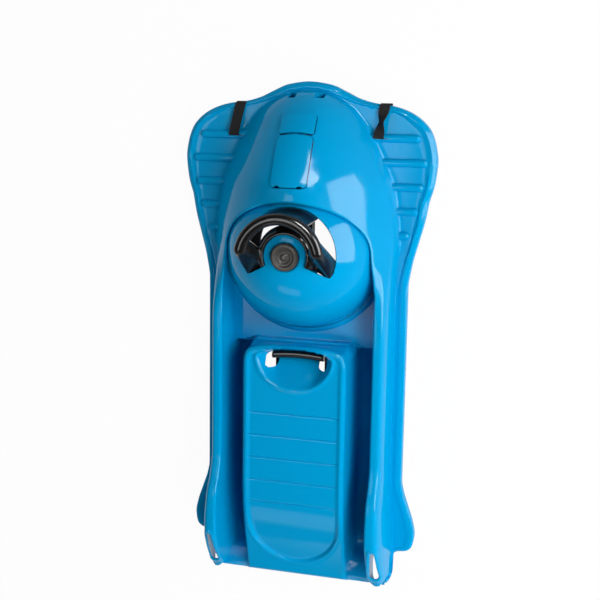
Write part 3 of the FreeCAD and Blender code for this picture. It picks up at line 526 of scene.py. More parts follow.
def round_rail_end(grid):
    """Draws the rail's end in to a round loop end and lifts its lower edge."""
    past = np.clip((rail_end_start - grid[..., 1]) / rail_end_reach, 0.0, rail_end_most_share)
    narrow = np.sqrt(1.0 - past ** 2)
    x = rail_end_middle + (grid[..., 0] - rail_end_middle) * narrow
    low = rail_end_foot + (rail_end_low - rail_end_foot) * eased(-grid[..., 1], *rail_end_lift)
    z = np.where(grid[..., 1] < rail_end_lift_y, np.maximum(grid[..., 2], low), grid[..., 2])
    return np.stack([x, grid[..., 1], z], -1)


rear_grid = round_rail_end(rear_grid)
last_row = rear_grid[-1]
end_rows = []
for share in rail_end_shares:
    closing = np.array((0.0, -rail_end_bulge, rail_end_low - rail_end_drop)) * (1.0 - share)
    end_rows.append(last_row * (1, 1, share) + closing)
rear_grid = np.concatenate([rear_grid, np.stack(end_rows)])
hull = sheet_from("hull_moulding", [nose_grid, rear_grid])

door_middle = (0.0, 393.0)
door_half_width = 40.0
door_half_length = 53.5
door_corner = 9.0
door_arch = 5.0
door_arch_y = (400.0, 440.0)
door_arch_most_share = 1.5
door_opening = 1.5
tow_hole_middle = (31.0, 530.0)
tow_hole_half_length = 10.0
tow_hole_half_width = 5.5
tow_hole_corner = 2.0
strap_slot_middle = (164.0, 440.0)
strap_slot_half_length = 14.0
strap_slot_half_width = 2.0
strap_slot_corner = 1.5
panel_reach = (450.5, 493.0)
panel_half_width = 39.5
panel_corner = 7.0


def panel_distance(x, y):
    """How far a place lies outside the panel ahead of the door."""
    middle = (0.0, (panel_reach[0] + panel_reach[1]) / 2.0)
    bowed = y + door_arch * (x / door_half_width) ** 2
    half_length = (panel_reach[1] - panel_reach[0]) / 2.0
    return slot_distance(x, bowed, middle, panel_half_width, half_length, panel_corner)


def door_distance(x, y):
    """How far a place lies outside the door's opening, whose front edge is bowed."""
    bow = door_arch * np.minimum((x / door_half_width) ** 2, door_arch_most_share) * eased(y, *door_arch_y)
    half_length = door_half_length + door_opening
    return slot_distance(x, y + bow, door_middle, door_half_width, half_length, door_corner)


def pair_of_slots(*spans):
    """The distance to two mirrored slots, from the right one's middle, half sizes and corner."""
    return lambda x, y: slot_distance(np.abs(x), y, *spans)


tow_distance = pair_of_slots(tow_hole_middle, tow_hole_half_length, tow_hole_half_width, tow_hole_corner)
strap_slot_distance = pair_of_slots(strap_slot_middle, strap_slot_half_length, strap_slot_half_width,
                                    strap_slot_corner)
far_inside = 60.0
for hole in (door_distance, panel_distance, loop_distance, tow_distance, strap_slot_distance):
    punch(hull, hole, lambda x, y: hull_height(x, y, far_inside))
slit_x = 198.0
slit_ends_y = (-440.0, -340.0)
slit_ends_z = (103.8, 105.4)
slit_reach = 14.0


def in_slit(face, reach):
    """Whether a face of the rails' flanks lies in the slit, or within reach of it."""
    middle = face.calc_center_median() / mm
    along = slit_ends_y[0] - reach < middle.y < slit_ends_y[1] + reach
    return abs(middle.x) > slit_x and along and slit_ends_z[0] - reach < middle.z < slit_ends_z[1] + reach


def open_slits(work):
    """Splits the flanks' faces along the slits' edges and takes out what lies between."""
    planes = [((0, 0, z), (0, 0, 1)) for z in slit_ends_z] + [((0, y, 0), (0, 1, 0)) for y in slit_ends_y]
    for place, way in planes:
        faces = [face for face in work.faces if in_slit(face, slit_reach)]
        edges = {edge for face in faces for edge in face.edges}
        verts = {vert for face in faces for vert in face.verts}
        around = list(verts) + list(edges) + faces
        bmesh.ops.bisect_plane(work, geom=around, plane_co=Vector(place) * mm, plane_no=way)
    bmesh.ops.delete(work, geom=[face for face in work.faces if in_slit(face, 0.0)], context="FACES")


reworked(hull, open_slits)
thicken(hull, hull_wall)
rear_limit_y = -559.8


def hold_in(piece):
    """Keeps a piece's walls ahead of the sled's rear end."""
    for vert in piece.data.vertices:
        vert.co.y = max(vert.co.y, rear_limit_y * mm)


hold_in(hull)
tow_collar_depth = 15.0
tow_collar_wall = 2.0
tow_collar_sink = 0.6
tow_collar_lap = 0.1
tow_collar_power = 0.45
tow_collar_step = 1.0
tow_collar_columns = 40


def rounded_unit(value):
    """A sine or cosine drawn out towards a square."""
    return np.sign(value) * abs(value) ** tow_collar_power


def tow_collar(side):
    """The turned-in edge of a tow hole, square to the nose's surface."""
    middle_x, middle_y = tow_hole_middle
    ahead, behind = [hull_height(middle_x, middle_y + step, far_inside)
                     for step in (tow_collar_step, -tow_collar_step)]
    inward = np.array((0.0, float(ahead - behind) / (2.0 * tow_collar_step), -1.0))
    inward /= np.linalg.norm(inward)
    rows = []
    for depth, wall in ((tow_collar_sink, tow_collar_wall), (tow_collar_sink, tow_collar_lap),
                        (tow_collar_depth, tow_collar_lap), (tow_collar_depth, tow_collar_wall)):
        row = []
        for turn in np.linspace(0.0, 2.0 * math.pi, tow_collar_columns + 1):
            x = middle_x + (tow_hole_half_length + wall) * rounded_unit(math.cos(turn))
            y = middle_y + (tow_hole_half_width + wall) * rounded_unit(math.sin(turn))
            point = np.array((x, y, float(hull_height(x, y, far_inside)))) + inward * depth
            row.append(point * (side, 1, 1))
        rows.append(row)
    return np.array(rows + rows[:1])


collars = sheet_from("tow_hole_collars", [tow_collar(-1), tow_collar(1)], False)
reworked(collars, turn_outward)
shade(collars, hull_blue)
dress(collars, "sled", "hull_blue")
shade(hull, hull_blue)
dress(hull, "sled", "hull_blue", "hood_shell", "left_wing", "right_wing", "left_rail", "right_rail")


# Wing ribs. Five rounded foot ribs stand across each wing, moulded in one with the plate: half-round bars
# with ball ends, whose inner ends run into the hood's side.

rib_count = 5
rib_first_y = 442.0
rib_pitch = 52.2
rib_radius = 9.3
rib_top = 9.0
rib_starts = (134.0, 160.0, 178.0, 190.0, 196.0)
rib_reaches = (249.0, 266.0, 260.0, 249.0, 232.0)
rib_crease = 60.0
rib_sink = 1.0
rib_base_z = plate_top - rib_sink
rib_slot_x = (149.0, 179.0)
rib_slot_y = (439.0, 442.4)
rib_slot_rises = (3.0, 20.0)
rib_slot_z = [plate_top + rise for rise in rib_slot_rises]


def cut_away(piece, spans):
    """Cuts a box, given by its spans in millimetres, out of a piece."""
    corners = [(x * mm, y * mm, z * mm) for z in spans[2] for y in spans[1] for x in spans[0]]
    faces = [(0, 2, 3, 1), (4, 5, 7, 6), (0, 1, 5, 4), (2, 6, 7, 3), (0, 4, 6, 2), (1, 3, 7, 5)]
    knife = new_mesh("knife", corners, faces)
    cut = piece.modifiers.new("cut", "BOOLEAN")
    cut.operation = "DIFFERENCE"
    cut.solver = "EXACT"
    cut.use_self = True
    cut.object = knife
    settle(piece)
    bpy.data.objects.remove(knife)


def new_tree(name, inputs):
    """An empty geometry tree with a mesh in, a mesh out and named inputs; returns it with its two ends."""
    tree = bpy.data.node_groups.new(name, "GeometryNodeTree")
    tree.interface.new_socket("Geometry", in_out="INPUT", socket_type="NodeSocketGeometry")
    tree.interface.new_socket("Geometry", in_out="OUTPUT", socket_type="NodeSocketGeometry")
    for word, kind in inputs:
        tree.interface.new_socket(word, in_out="INPUT", socket_type=kind)
    return tree, tree.nodes.new("NodeGroupInput"), tree.nodes.new("NodeGroupOutput")


def grow(piece, tree, values):
    """Runs a geometry tree on a piece with the given inputs and keeps the plain mesh."""
    modifier = piece.modifiers.new(tree.name, "NODES")
    modifier.node_group = tree
    for item in tree.interface.items_tree:
        if item.in_out == "INPUT" and item.name in values:
            modifier[item.identifier] = values[item.name]
    settle(piece)


def make_rib_tree():
    """Lines become half-round bars with ball ends, flat at the base height."""
    inputs = (("Radius", "NodeSocketFloat"), ("Base Height", "NodeSocketFloat"),
              ("Material", "NodeSocketMaterial"))
    tree, given, result = new_tree("wing_ribs", inputs)
    lines = given.outputs["Geometry"]
    radius = given.outputs["Radius"]
    line = add_node(tree, "GeometryNodeMeshToCurve", {"Mesh": lines})
    ring = add_node(tree, "GeometryNodeCurvePrimitiveCircle", {"Radius": radius}, {"Resolution": 28})
    bar = add_node(tree, "GeometryNodeCurveToMesh",
                   {"Curve": line.outputs["Curve"], "Profile Curve": ring.outputs["Curve"]},
                   {"Fill Caps": True})
    ball = add_node(tree, "GeometryNodeMeshUVSphere", {"Radius": radius}, {"Segments": 28, "Rings": 14})
    ends = add_node(tree, "GeometryNodeInstanceOnPoints",
                    {"Points": lines, "Instance": ball.outputs["Mesh"]})
    both = add_node(tree, "GeometryNodeJoinGeometry", {"Geometry": bar.outputs["Mesh"]})
    tree.links.new(ends.outputs["Instances"], both.inputs["Geometry"])
    real = add_node(tree, "GeometryNodeRealizeInstances", {"Geometry": both.outputs["Geometry"]})
    place = add_node(tree, "GeometryNodeInputPosition")
    apart = add_node(tree, "ShaderNodeSeparateXYZ", {"Vector": place.outputs["Position"]})
    lifted = add_node(tree, "ShaderNodeMath",
                      {0: apart.outputs["Z"], 1: given.outputs["Base Height"]}, None, "MAXIMUM")
    joined = add_node(tree, "ShaderNodeCombineXYZ",
                      {"X": apart.outputs["X"], "Y": apart.outputs["Y"], "Z": lifted.outputs[0]})
    settled = add_node(tree, "GeometryNodeSetPosition",
                       {"Geometry": real.outputs["Geometry"], "Position": joined.outputs["Vector"]})
    painted = add_node(tree, "GeometryNodeSetMaterial",
                       {"Geometry": settled.outputs["Geometry"], "Material": given.outputs["Material"]})
    tree.links.new(painted.outputs["Geometry"], result.inputs["Geometry"])
    return tree


rib_points = []
rib_lines = []
for side in (-1, 1):
    for index in range(rib_count):
        y = rib_first_y - index * rib_pitch
        z = plate_top + rib_top - rib_radius
        rib_lines.append((len(rib_points), len(rib_points) + 1))
        rib_points.append(Vector((side * rib_starts[index], y, z)) * mm)
        rib_points.append(Vector((side * (rib_reaches[index] - rib_radius), y, z)) * mm)
ribs = new_mesh("wing_ribs", rib_points, [])
ribs.data.edges.add(len(rib_lines))
for edge, ends in zip(ribs.data.edges, rib_lines):
    edge.vertices = ends
rib_values = {"Radius": rib_radius * mm, "Base Height": rib_base_z * mm, "Material": hull_blue}
grow(ribs, make_rib_tree(), rib_values)
for side in (-1, 1):
    cut_away(ribs, (sorted(side * x for x in rib_slot_x), rib_slot_y, rib_slot_z))
shade(ribs, hull_blue, rib_crease)
dress(ribs, "sled", "hull_blue")


# Footwell floor. The flat pan between the rails, part of the same blue moulding, with the opening and the
# bearing boss for the steering column.

def paint_node(name, material):
    """A carried-over solid keeps its mesh and gets its finish."""
    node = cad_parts[name]
    node.data.materials.clear()
    node.data.materials.append(material)


paint_node("floor_pan", hull_blue)


# Seat, channels and tail. One moulded form between the rails: a raised seat with a shallow pan, five thin
# grooves and a hand scoop, a deep channel on each side whose keel is a runner, and the tail's edge.

seat_top = 142.0
seat_half = 117.0
seat_corner = 22.0
seat_lean = 3.0
soft_crease = 40.0
channel_middle_x = 143.5
channel_half = 25.0
channel_front_y = -18.0
channel_corner = 22.0
channel_floor_x = (120.5, 165.0)
deck_outer_x = 169.0
deck_tail_x = 184.0
floor_lift = 0.3
floor_top = plate_top + floor_lift
bend_most_share = 0.49
seat_line = ((-9, 52.3), (-9.5, 77), (-13, 77.6), (-14.5, 142), (-385, 142), (-551.5, 94), (-558.2, 88),
             (-558.2, 58))
seat_line_bends = (0, 4, 1.6, 9, 70, 6, 4, 0)
seat_line_steps = (6, 3, 14, 84, 34, 2, 5)
seat_bend_steps = (4, 4, 8, 14, 5, 4)
channel_places = (-560, -558, -552, -530, -514, -505, -490, -474, -32, -26, -22.5, -20.5, -19, -18)
channel_floors = (58, 83, 81, 66, 50, 30, 10, 4, 4, 6, 14, 30, 47, 52.3)


def rounded_line(corners, bends, steps, bend_steps):
    """A line through corners, each rounded off by its bend, with a set number of points on each run."""
    corners = np.asarray(corners, float)
    runs = np.diff(corners, axis=0)
    lengths = np.maximum(np.hypot(runs[:, 0], runs[:, 1]), least_length)
    ways = runs / lengths[:, None]
    cut = np.zeros(len(corners))
    for index in range(1, len(corners) - 1):
        cut[index] = min(bends[index], bend_most_share * min(lengths[index - 1], lengths[index]))
    points = []
    for index in range(len(runs)):
        start = corners[index] + ways[index] * cut[index]
        end = corners[index + 1] - ways[index] * cut[index + 1]
        for step in range(steps[index]):
            points.append(start + (end - start) * step / steps[index])
        points.append(end)
        if index < len(runs) - 1:
            after = corners[index + 1] + ways[index + 1] * cut[index + 1]
            for step in range(1, bend_steps[index]):
                t = step / bend_steps[index]
                points.append(end * (1 - t) ** 2 + corners[index + 1] * 2 * t * (1 - t) + after * t * t)
    return np.array(points)


seat_rows = rounded_line(seat_line, seat_line_bends, seat_line_steps, seat_bend_steps)
groove_count = 5
groove_first_y = -165.5
groove_pitch = 52.2
groove_half_length = 106.0
groove_depth = 2.0
groove_half_width = 1.6
groove_clear = 4.5
groove_steps = (4.0, 2.0, 1.3, 0.7, 0.0, -0.7, -1.3, -2.0, -4.0)
grooves = [groove_first_y - index * groove_pitch for index in range(groove_count)]
level_slack = 0.001
ramp_margin = 8.0
crown = np.argmax(seat_rows[:, 1] > seat_top - level_slack)
ramp_end = np.argmin(np.abs(seat_rows[:, 0] - seat_line[5][0] - ramp_margin))
on_top = seat_rows[crown:ramp_end]
clear = np.min(np.abs(on_top[:, :1] - np.array(grooves)), axis=1) > groove_clear
groove_rows = np.array([y + step for y in grooves for step in groove_steps])
groove_tops = np.interp(-groove_rows, -on_top[:, 0], on_top[:, 1])
on_top = np.concatenate([on_top[clear], np.stack([groove_rows, groove_tops], -1)])
on_top = on_top[np.argsort(-on_top[:, 0])]
seat_rows = np.concatenate([seat_rows[:crown], on_top, seat_rows[ramp_end:]])

# The channels' round fronts need rows of their own where the seat's front face stands upright.
channel_front_rows = (-130.0, -44.0)
channel_rows = seat_rows[:, 0].copy()
channel_rows[:crown + 1] = np.linspace(seat_line[0][0], channel_front_rows[1], crown + 1)
later = channel_rows[crown + 1:]
drawn = np.interp(later, (channel_front_rows[0], seat_rows[crown, 0]), channel_front_rows)
channel_rows[crown + 1:] = np.minimum(later, drawn)

section_steps = (2, 4, 4, 4, 2, 6, 50)
section_bends = (0, 4, 9, 9, 3, 5, 8, 0)
section_bend_steps = (3, 4, 4, 3, 3, 6)
tail_start_y = -500.0
corner_lag = 3.0
corner_share = 0.4
lean_rise = 90.0
deck_flare = (528.0, 558.0)


def seat_section(y, top, channel_y):
    """One row across the right half, from the rail's foot through the channel to the seat's middle."""
    floor_z = float(curve_through(channel_places, channel_floors, channel_y))
    land = max(floor_top, floor_z) if y < tail_start_y else floor_top
    behind = np.clip(channel_front_y - channel_y, 0.0, channel_corner)
    half = channel_half - channel_corner + math.sqrt(channel_corner ** 2 - (channel_corner - behind) ** 2)
    past = np.clip(seat_line[2][0] - corner_lag - y, 0.0, 2.0 * seat_corner) / (2.0 * seat_corner)
    edge = seat_half - seat_corner * (1.0 - math.sqrt(1.0 - (1.0 - past) ** 2)) * corner_share
    outer = channel_middle_x + half
    inner = channel_middle_x - half
    low = min(1.0, half / channel_half)
    spread = (channel_floor_x[1] - channel_middle_x) * low
    rise = top - land
    lean = seat_lean * np.clip(rise / lean_rise, 0.0, 1.0)
    side = deck_outer_x + (deck_tail_x - deck_outer_x) * float(eased(-y, *deck_flare))
    corners = ((side, land), (outer, land), (channel_middle_x + spread, floor_z),
               (channel_middle_x - (channel_middle_x - channel_floor_x[0]) * low, floor_z), (inner, land),
               (min(edge + lean, inner), land), (edge, top), (0.0, top))
    return rounded_line(corners, section_bends, section_steps, section_bend_steps)


scoop_middle_y = -37.0
scoop_half_width = 85.0
scoop_reaches = (17.0, 72.0)
scoop_depth = 56.0
scoop_lip = 3.2
scoop_wall_slope = 2.0
scoop_blend = 6.0
pan_half = 107.0
pan_depth = 2.6
pan_front_y = -24.0
pan_rear_y = -525.0
pan_half_run = 300.0
pan_corner = 16.0
pan_wall = 9.0
pan_bead = (1.3, 1.5, 3.2)
ramp_extra_depth = 4.5
ramp_span = (380.0, 470.0)
groove_fade = (-1.0, 3.0)
scoop_mean_share = 0.75
scoop_lip_share = 1.03
scoop_lip_spread = 3.6
scoop_fade_share = 0.05
front_bow = (4.0, 17.0)
front_bow_y = (16.0, 60.0)
front_bow_z = (80.0, 120.0)
top_margin = 1.0
top_depth = 60.0
top_front_y = -18.0
bow_margin = 2.0


def scoop_round(x, y):
    """1 on the scoop's edge, 0 in its middle."""
    reach = np.where(y > scoop_middle_y, scoop_reaches[0], scoop_reaches[1])
    return np.hypot(x / scoop_half_width, (y - scoop_middle_y) / reach)


def pan_distance(x, y):
    """How far a place lies outside the pan, whose rear end is a half round."""
    rear = np.hypot(x, y - (pan_rear_y + pan_half)) - pan_half
    front = slot_distance(x, y, (0.0, pan_front_y - pan_half_run), pan_half, pan_half_run, pan_corner)
    return np.where(y < pan_rear_y + pan_half, rear, front)


def seat_shape(points):
    """Sinks the pan, the grooves and the scoop into the seat's top."""
    x, y, z = points[..., 0].copy(), points[..., 1].copy(), points[..., 2].copy()
    top = (x < seat_half - top_margin) & (z > seat_top - top_depth) & (y < top_front_y)
    away = pan_distance(x, y)
    deeper = pan_depth + ramp_extra_depth * eased(-y, *ramp_span)
    bead_rise, bead_middle, bead_spread = pan_bead
    bead = bead_rise * np.exp(-((away - bead_middle) / bead_spread) ** 2)
    drop = deeper * eased(-away, 0.0, pan_wall) - bead
    for groove_y in grooves:
        near = np.clip(1.0 - np.abs(y - groove_y) / groove_half_width, 0.0, 1.0)
        drop = drop + groove_depth * near * eased(groove_half_length - np.abs(x), *groove_fade)
    round_share = scoop_round(x, y)
    mean_reach = scoop_half_width * scoop_mean_share
    inside = np.maximum(1.0 - round_share, 0.0) * mean_reach
    ramp = scoop_depth * np.clip((y - scoop_middle_y) / scoop_reaches[1] + 1.0, 0.0, 1.0)
    wall = scoop_wall_slope * inside
    bowl = np.maximum(0.0, (ramp + wall - np.hypot(ramp - wall, scoop_blend)) / 2.0 + scoop_blend / 4.0)
    bowl = np.where(inside > 0.0, np.minimum(bowl, wall), 0.0)
    lip = scoop_lip * np.exp(-((round_share - scoop_lip_share) * mean_reach / scoop_lip_spread) ** 2)
    drop = drop * (1.0 - eased(1.0 - round_share, 0.0, scoop_fade_share)) + bowl - lip
    points[..., 2] = np.where(top, z - drop, z)
    bow = front_bow[0] - front_bow[1] * (x / seat_half) ** 4
    held = (1.0 - eased(-y, *front_bow_y)) * eased(z, *front_bow_z) * (x < seat_half + bow_margin)
    points[..., 1] = y + bow * held
    return points


sections = np.stack([seat_section(y, top, at) for (y, top), at in zip(seat_rows, channel_rows)])
seat_side_fade = (0.5, 6.0)
on_seat = 1.0 - eased(sections[..., 0] - seat_half - seat_lean, *seat_side_fade)
along = channel_rows[:, None] * (1.0 - on_seat) + seat_rows[:, :1] * on_seat
seat_grid = np.stack([sections[..., 0], along, sections[..., 1]], -1)
seat_grid = seat_shape(np.ascontiguousarray(seat_grid))
seat = sheet_from("seat_and_channels", [seat_grid])
notch_middle = (58.0, -49.0)
notch_half_width = 12.0
notch_half_length = 17.0
notch_corner = 11.0
punch(seat, pair_of_slots(notch_middle, notch_half_width, notch_half_length, notch_corner))
thicken(seat, hull_wall)
hold_in(seat)
shade(seat, hull_blue, soft_crease)
dress(seat, "sled", "hull_blue", "seat_deck", "tail_deck", "left_runner", "right_runner")


# Steering gear. Under the dome lie a grey bearing ring, a steel column in white bushes with its thrust
# collar, and a black blade under the hull; screws, bolts and nuts hold them.

grey_satin = moulded("ring_grey", (0.075, 0.07, 0.068), 0.10, 0.42, 0.12, 0.10)
steel = moulded("bright_steel", (0.62, 0.62, 0.64), 0.06, 0.22, 0.14, 0.02, gloss=0.5, metallic=1.0)
bush_white = moulded("bush_white", (0.78, 0.78, 0.76), 0.05, 0.40, 0.10, 0.05)
blade_black = moulded("blade_black", (0.012, 0.012, 0.013), 0.10, 0.38, 0.20, 0.15)

for name, finish in (("bearing_ring", grey_satin), ("steering_column", steel),
                     ("upper_column_bush", bush_white), ("lower_column_bush", bush_white),
                     ("thrust_collar", blade_black)):
    paint_node(name, finish)


# Steering dome. A spherical cap of blue plastic that turns with the handle, with a kidney-shaped hand opening
# round its hub and a narrow flange at its foot.

dome_radius = 176.0
dome_centre_z = 48.0
dome_foot_z = 54.3
dome_hub_z = 217.0
hub_line = ((0.0, 0.0), (12.0, 0.0), (24.0, 0.0), (30.2, 0.0), (31.0, 0.6))
hub_groove = ((31.4, 0.8), (32.4, 0.0))
dome_start_radius = 33.5
dome_rows = 66
flange_rise = 6.0
flange_line = ((176.0, 5.0), (177.4, 4.4), (178.5, 3.4), (178.5, 2.0), (178.2, 0.0))
kidney_radii = (47.0, 103.5)
kidney_half_turn = math.radians(116.5)
kidney_corner = 9.0
dome_columns = 200
dome_wall = 4.0
round_gap = 0.005


def dome_height(r):
    """The height of the dome's sphere at a radius from its axis."""
    return dome_centre_z + np.sqrt(np.maximum(dome_radius ** 2 - r ** 2, 0.0))


def dome_line():
    """Radius and height from the hub to the foot."""
    line = [(r, dome_hub_z + rise) for r, rise in hub_line]
    line += [(r, float(dome_height(r)) - drop) for r, drop in hub_groove]
    first = math.asin(dome_start_radius / dome_radius)
    last = math.acos((dome_foot_z + flange_rise - dome_centre_z) / dome_radius)
    for turn in np.linspace(first, last, dome_rows):
        line.append((dome_radius * math.sin(turn), dome_centre_z + dome_radius * math.cos(turn)))
    return line + [(r, dome_foot_z + rise) for r, rise in flange_line]


def ring_faces(rows, columns):
    """The faces between rows of points that each run once round."""
    faces = []
    for row in range(rows - 1):
        for column in range(columns):
            after = (column + 1) % columns
            start = row * columns
            faces.append((start + column, start + columns + column, start + columns + after, start + after))
    return faces


def lathe(name, line, columns, middle):
    """A closed round of a radius-and-height line about an upright axis."""
    points = []
    for r, z in line:
        for column in range(columns):
            turn = 2.0 * math.pi * column / columns
            points.append((r * math.sin(turn) * mm, (middle + r * math.cos(turn)) * mm, z * mm))
    piece = new_mesh(name, points, ring_faces(len(line), columns))
    reworked(piece, weld(round_gap), turn_outward)
    return piece


def kidney_distance(x, y):
    """How far a place lies outside the dome's hand opening, measured along the round."""
    r = np.hypot(x, y - steer_y)
    turn = np.arctan2(x, y - steer_y)
    mean = (kidney_radii[0] + kidney_radii[1]) / 2.0
    half_length = kidney_half_turn * mean
    return slot_distance(turn * mean, r, (0.0, mean), half_length, kidney_radii[1] - mean, kidney_corner)


floor_ring_line = ((179.6, 52.1), (179.6, 56.4), (180.6, 57.2), (183.5, 57.2), (186.5, 56.2), (189.5, 53.9),
                   (191.0, 52.1))
floor_ring_half_turn = math.radians(61.0)
floor_ring_columns = 90
ring_rows = []
for turn in np.linspace(-floor_ring_half_turn, floor_ring_half_turn, floor_ring_columns):
    ring_rows.append([(r * math.sin(turn), steer_y - r * math.cos(turn), z) for r, z in floor_ring_line])
floor_ring = sheet_from("floor_ring", [np.array(ring_rows)], False)
shade(floor_ring, hull_blue)
dress(floor_ring, "sled", "hull_blue")

dome_blue = moulded("dome_blue", hull_colour, 0.05, 0.07, 0.06, 0.012)
dome = lathe("steering_dome_shell", dome_line(), dome_columns, steer_y)


def turn_upward(work):
    """A change that turns the faces over where most of them look down."""
    if sum(face.normal.z * face.calc_area() for face in work.faces) < 0.0:
        bmesh.ops.reverse_faces(work, faces=work.faces)


reworked(dome, turn_upward)
punch(dome, kidney_distance, lambda x, y: dome_height(math.hypot(x, y - steer_y)))
thicken(dome, dome_wall)
shade(dome, dome_blue, soft_crease)
dress(dome, "steering", "dome_blue", "steering_dome")


# Steering handle. One black glossy moulding: a horseshoe grip on two flared legs, a web at its front and a
# collar round the dome's hub; screwed to the dome from below.

handle_black = moulded("handle_black", (0.006, 0.006, 0.0065), 0.10, 0.16, 0.14, 0.04, gloss=0.22)
handle_voxel = 1.9
handle_smooth_steps = 14


def skin(piece, voxel, steps):
    """Melts overlapping volumes into one skin and softens it."""
    remesh = piece.modifiers.new("skin", "REMESH")
    remesh.mode = "VOXEL"
    remesh.voxel_size = voxel * mm
    smooth = piece.modifiers.new("soften", "SMOOTH")
    smooth.factor = 0.5
    smooth.iterations = steps
    settle(piece)


all_smooth = 180.0
collar_section = ((46.6, 184), (46.6, 225.5), (50, 226.5), (56, 223), (66, 204), (66, 184))
collar_turns = (-25.5, 205.5)
web_section = ((80, 266), (88, 274), (93, 268), (102.3, 196), (102.3, 188), (96, 188))
web_turns = (52, 118)
grip_radius = 84.0
grip_tube = 13.0
grip_turns = (12.0, 168.0)
grip_z = 270.0
leg_tops = (12.0, 24.0)
leg_foot_radii = (50.0, 103.0)
leg_foot_turns = (-28.5, -6.0)
leg_foot_z = (176.0, 187.0)
leg_foot_points = 5
grip_corners = 24


def swept(section, turns, steps=60):
    """A closed stretch of a ring about the steering axis, from a radius-and-height section."""
    points = []
    corners = len(section)
    for turn in np.radians(np.linspace(*turns, steps)):
        points += [(r * math.cos(turn) * mm, (steer_y + r * math.sin(turn)) * mm, z * mm) for r, z in section]
    faces = ring_faces(steps, corners)
    faces.append(tuple(range(corners)))
    faces.append(tuple(range(steps * corners - 1, (steps - 1) * corners - 1, -1)))
    return points, faces


def round_place(r, degrees, z):
    """A place about the steering axis."""
    turn = math.radians(degrees)
    return Vector((r * math.cos(turn), steer_y + r * math.sin(turn), z)) * mm


def flared_leg(side):
    """A leg that spreads from the grip's end to the end of the dome's opening, as a closed mesh."""
    ball = bmesh.new()
    bmesh.ops.create_icosphere(ball, subdivisions=3, radius=grip_tube * mm)
    corners = []
    for turn in leg_tops:
        middle = round_place(grip_radius, turn, grip_z)
        corners += [middle + vert.co for vert in ball.verts]
    ball.free()
    for z in leg_foot_z:
        for r in leg_foot_radii:
            corners += [round_place(r, turn, z) for turn in np.linspace(*leg_foot_turns, leg_foot_points)]
    leg = bmesh.new()
    verts = [leg.verts.new((corner.x * side, corner.y, corner.z)) for corner in corners]
    bmesh.ops.convex_hull(leg, input=verts)
    bmesh.ops.delete(leg, geom=[vert for vert in leg.verts if not vert.link_faces], context="VERTS")
    bmesh.ops.recalc_face_normals(leg, faces=leg.faces)
    mesh = bpy.data.meshes.new("leg")
    leg.to_mesh(mesh)
    leg.free()
    return mesh


grip_section = [(grip_radius + grip_tube * math.cos(turn), grip_z + grip_tube * math.sin(turn))
                for turn in np.linspace(0.0, 2.0 * math.pi, grip_corners + 1)[:-1]]
handle = new_mesh("steering_handle_grip", [], [])
work = bmesh.new()
for section, turns in ((grip_section, grip_turns), (collar_section, collar_turns), (web_section, web_turns)):
    points, faces = swept(section, turns)
    verts = [work.verts.new(point) for point in points]
    closed = [work.faces.new([verts[index] for index in face]) for face in faces]
    bmesh.ops.recalc_face_normals(work, faces=closed)
for side in (-1, 1):
    work.from_mesh(flared_leg(side))
work.to_mesh(handle.data)
work.free()
skin(handle, handle_voxel, handle_smooth_steps)
shade(handle, handle_black, all_smooth)
dress(handle, "steering", "handle_black", "steering_handle")


# Hub cap. A dark grey satin disc with turned rings and a centre button, moulded in one piece and snapped
# over the hub bolt.

cap_columns = 96
small_crease = 50.0
cap_line = ((0.0, 228.2), (3.0, 228.6), (5.5, 228.2), (7.2, 226.4), (8.0, 225.6), (10.0, 225.4),
            (12.5, 225.9), (13.3, 227.2), (14.2, 227.8), (15.2, 227.2), (16.0, 225.9), (18.5, 225.9),
            (19.6, 226.6), (20.4, 229.6), (21.2, 230.5), (22.4, 231.0), (25.0, 231.0), (27.2, 230.2),
            (28.7, 228.4), (29.5, 225.6), (29.5, 217.4), (28.0, 217.2), (0.0, 217.2))
cap_grey = moulded("cap_grey", (0.055, 0.053, 0.047), 0.12, 0.30, 0.10, 0.10, gloss=0.16)
cap = lathe("hub_cap_disc", cap_line, cap_columns, steer_y)
shade(cap, cap_grey, small_crease)
dress(cap, "steering", "cap_black", "hub_cap")


# Storage box. A small door in the hood's top swings on a steel pin at its rear edge over a black bin, and
# a shallow raised panel continues its outline towards the nose. Door and panel are blue like the hull.

door_gap = 1.9
door_thickness = 3.6
door_notch_x = 23.6
door_notch_half = (5.0, 3.4)
door_notch_corner = 1.0
door_patch_y = (335.0, 452.0)
door_patch_half = 43.0
panel_rise = 0.7
panel_gap = 1.7
panel_sink = 3.2
panel_bevel = 0.6
panel_patch_y = (440.0, 496.0)
panel_patch_half = 42.0
patch_columns = 60
patch_rows = 72


def door_panel_distance(x, y):
    """How far a place lies outside the door, which has two notches at its hinge."""
    notch_place = (door_notch_x, door_middle[1] - door_half_length)
    pit = pair_of_slots(notch_place, *door_notch_half, door_notch_corner)
    return np.maximum(door_distance(x, y) + door_gap, -pit(x, y))


def inner_panel_distance(x, y):
    """How far a place lies outside the panel's own edge, set in from its opening."""
    return panel_distance(x, y) + panel_gap


def hood_patch(name, distance, reach, half, lift):
    """A piece of the hood's own surface inside an outline."""
    across = np.linspace(-half, half, patch_columns)
    along = np.linspace(reach[0], reach[1], patch_rows)
    x, y = np.meshgrid(across, along)
    grid = np.stack([x, y, hull_height(x, y, far_inside) + lift], -1)
    patch = sheet_from(name, [np.flip(grid, 0)], False)
    punch(patch, lambda x, y: -distance(x, y), lambda x, y: hull_height(x, y, far_inside) + lift)
    return patch


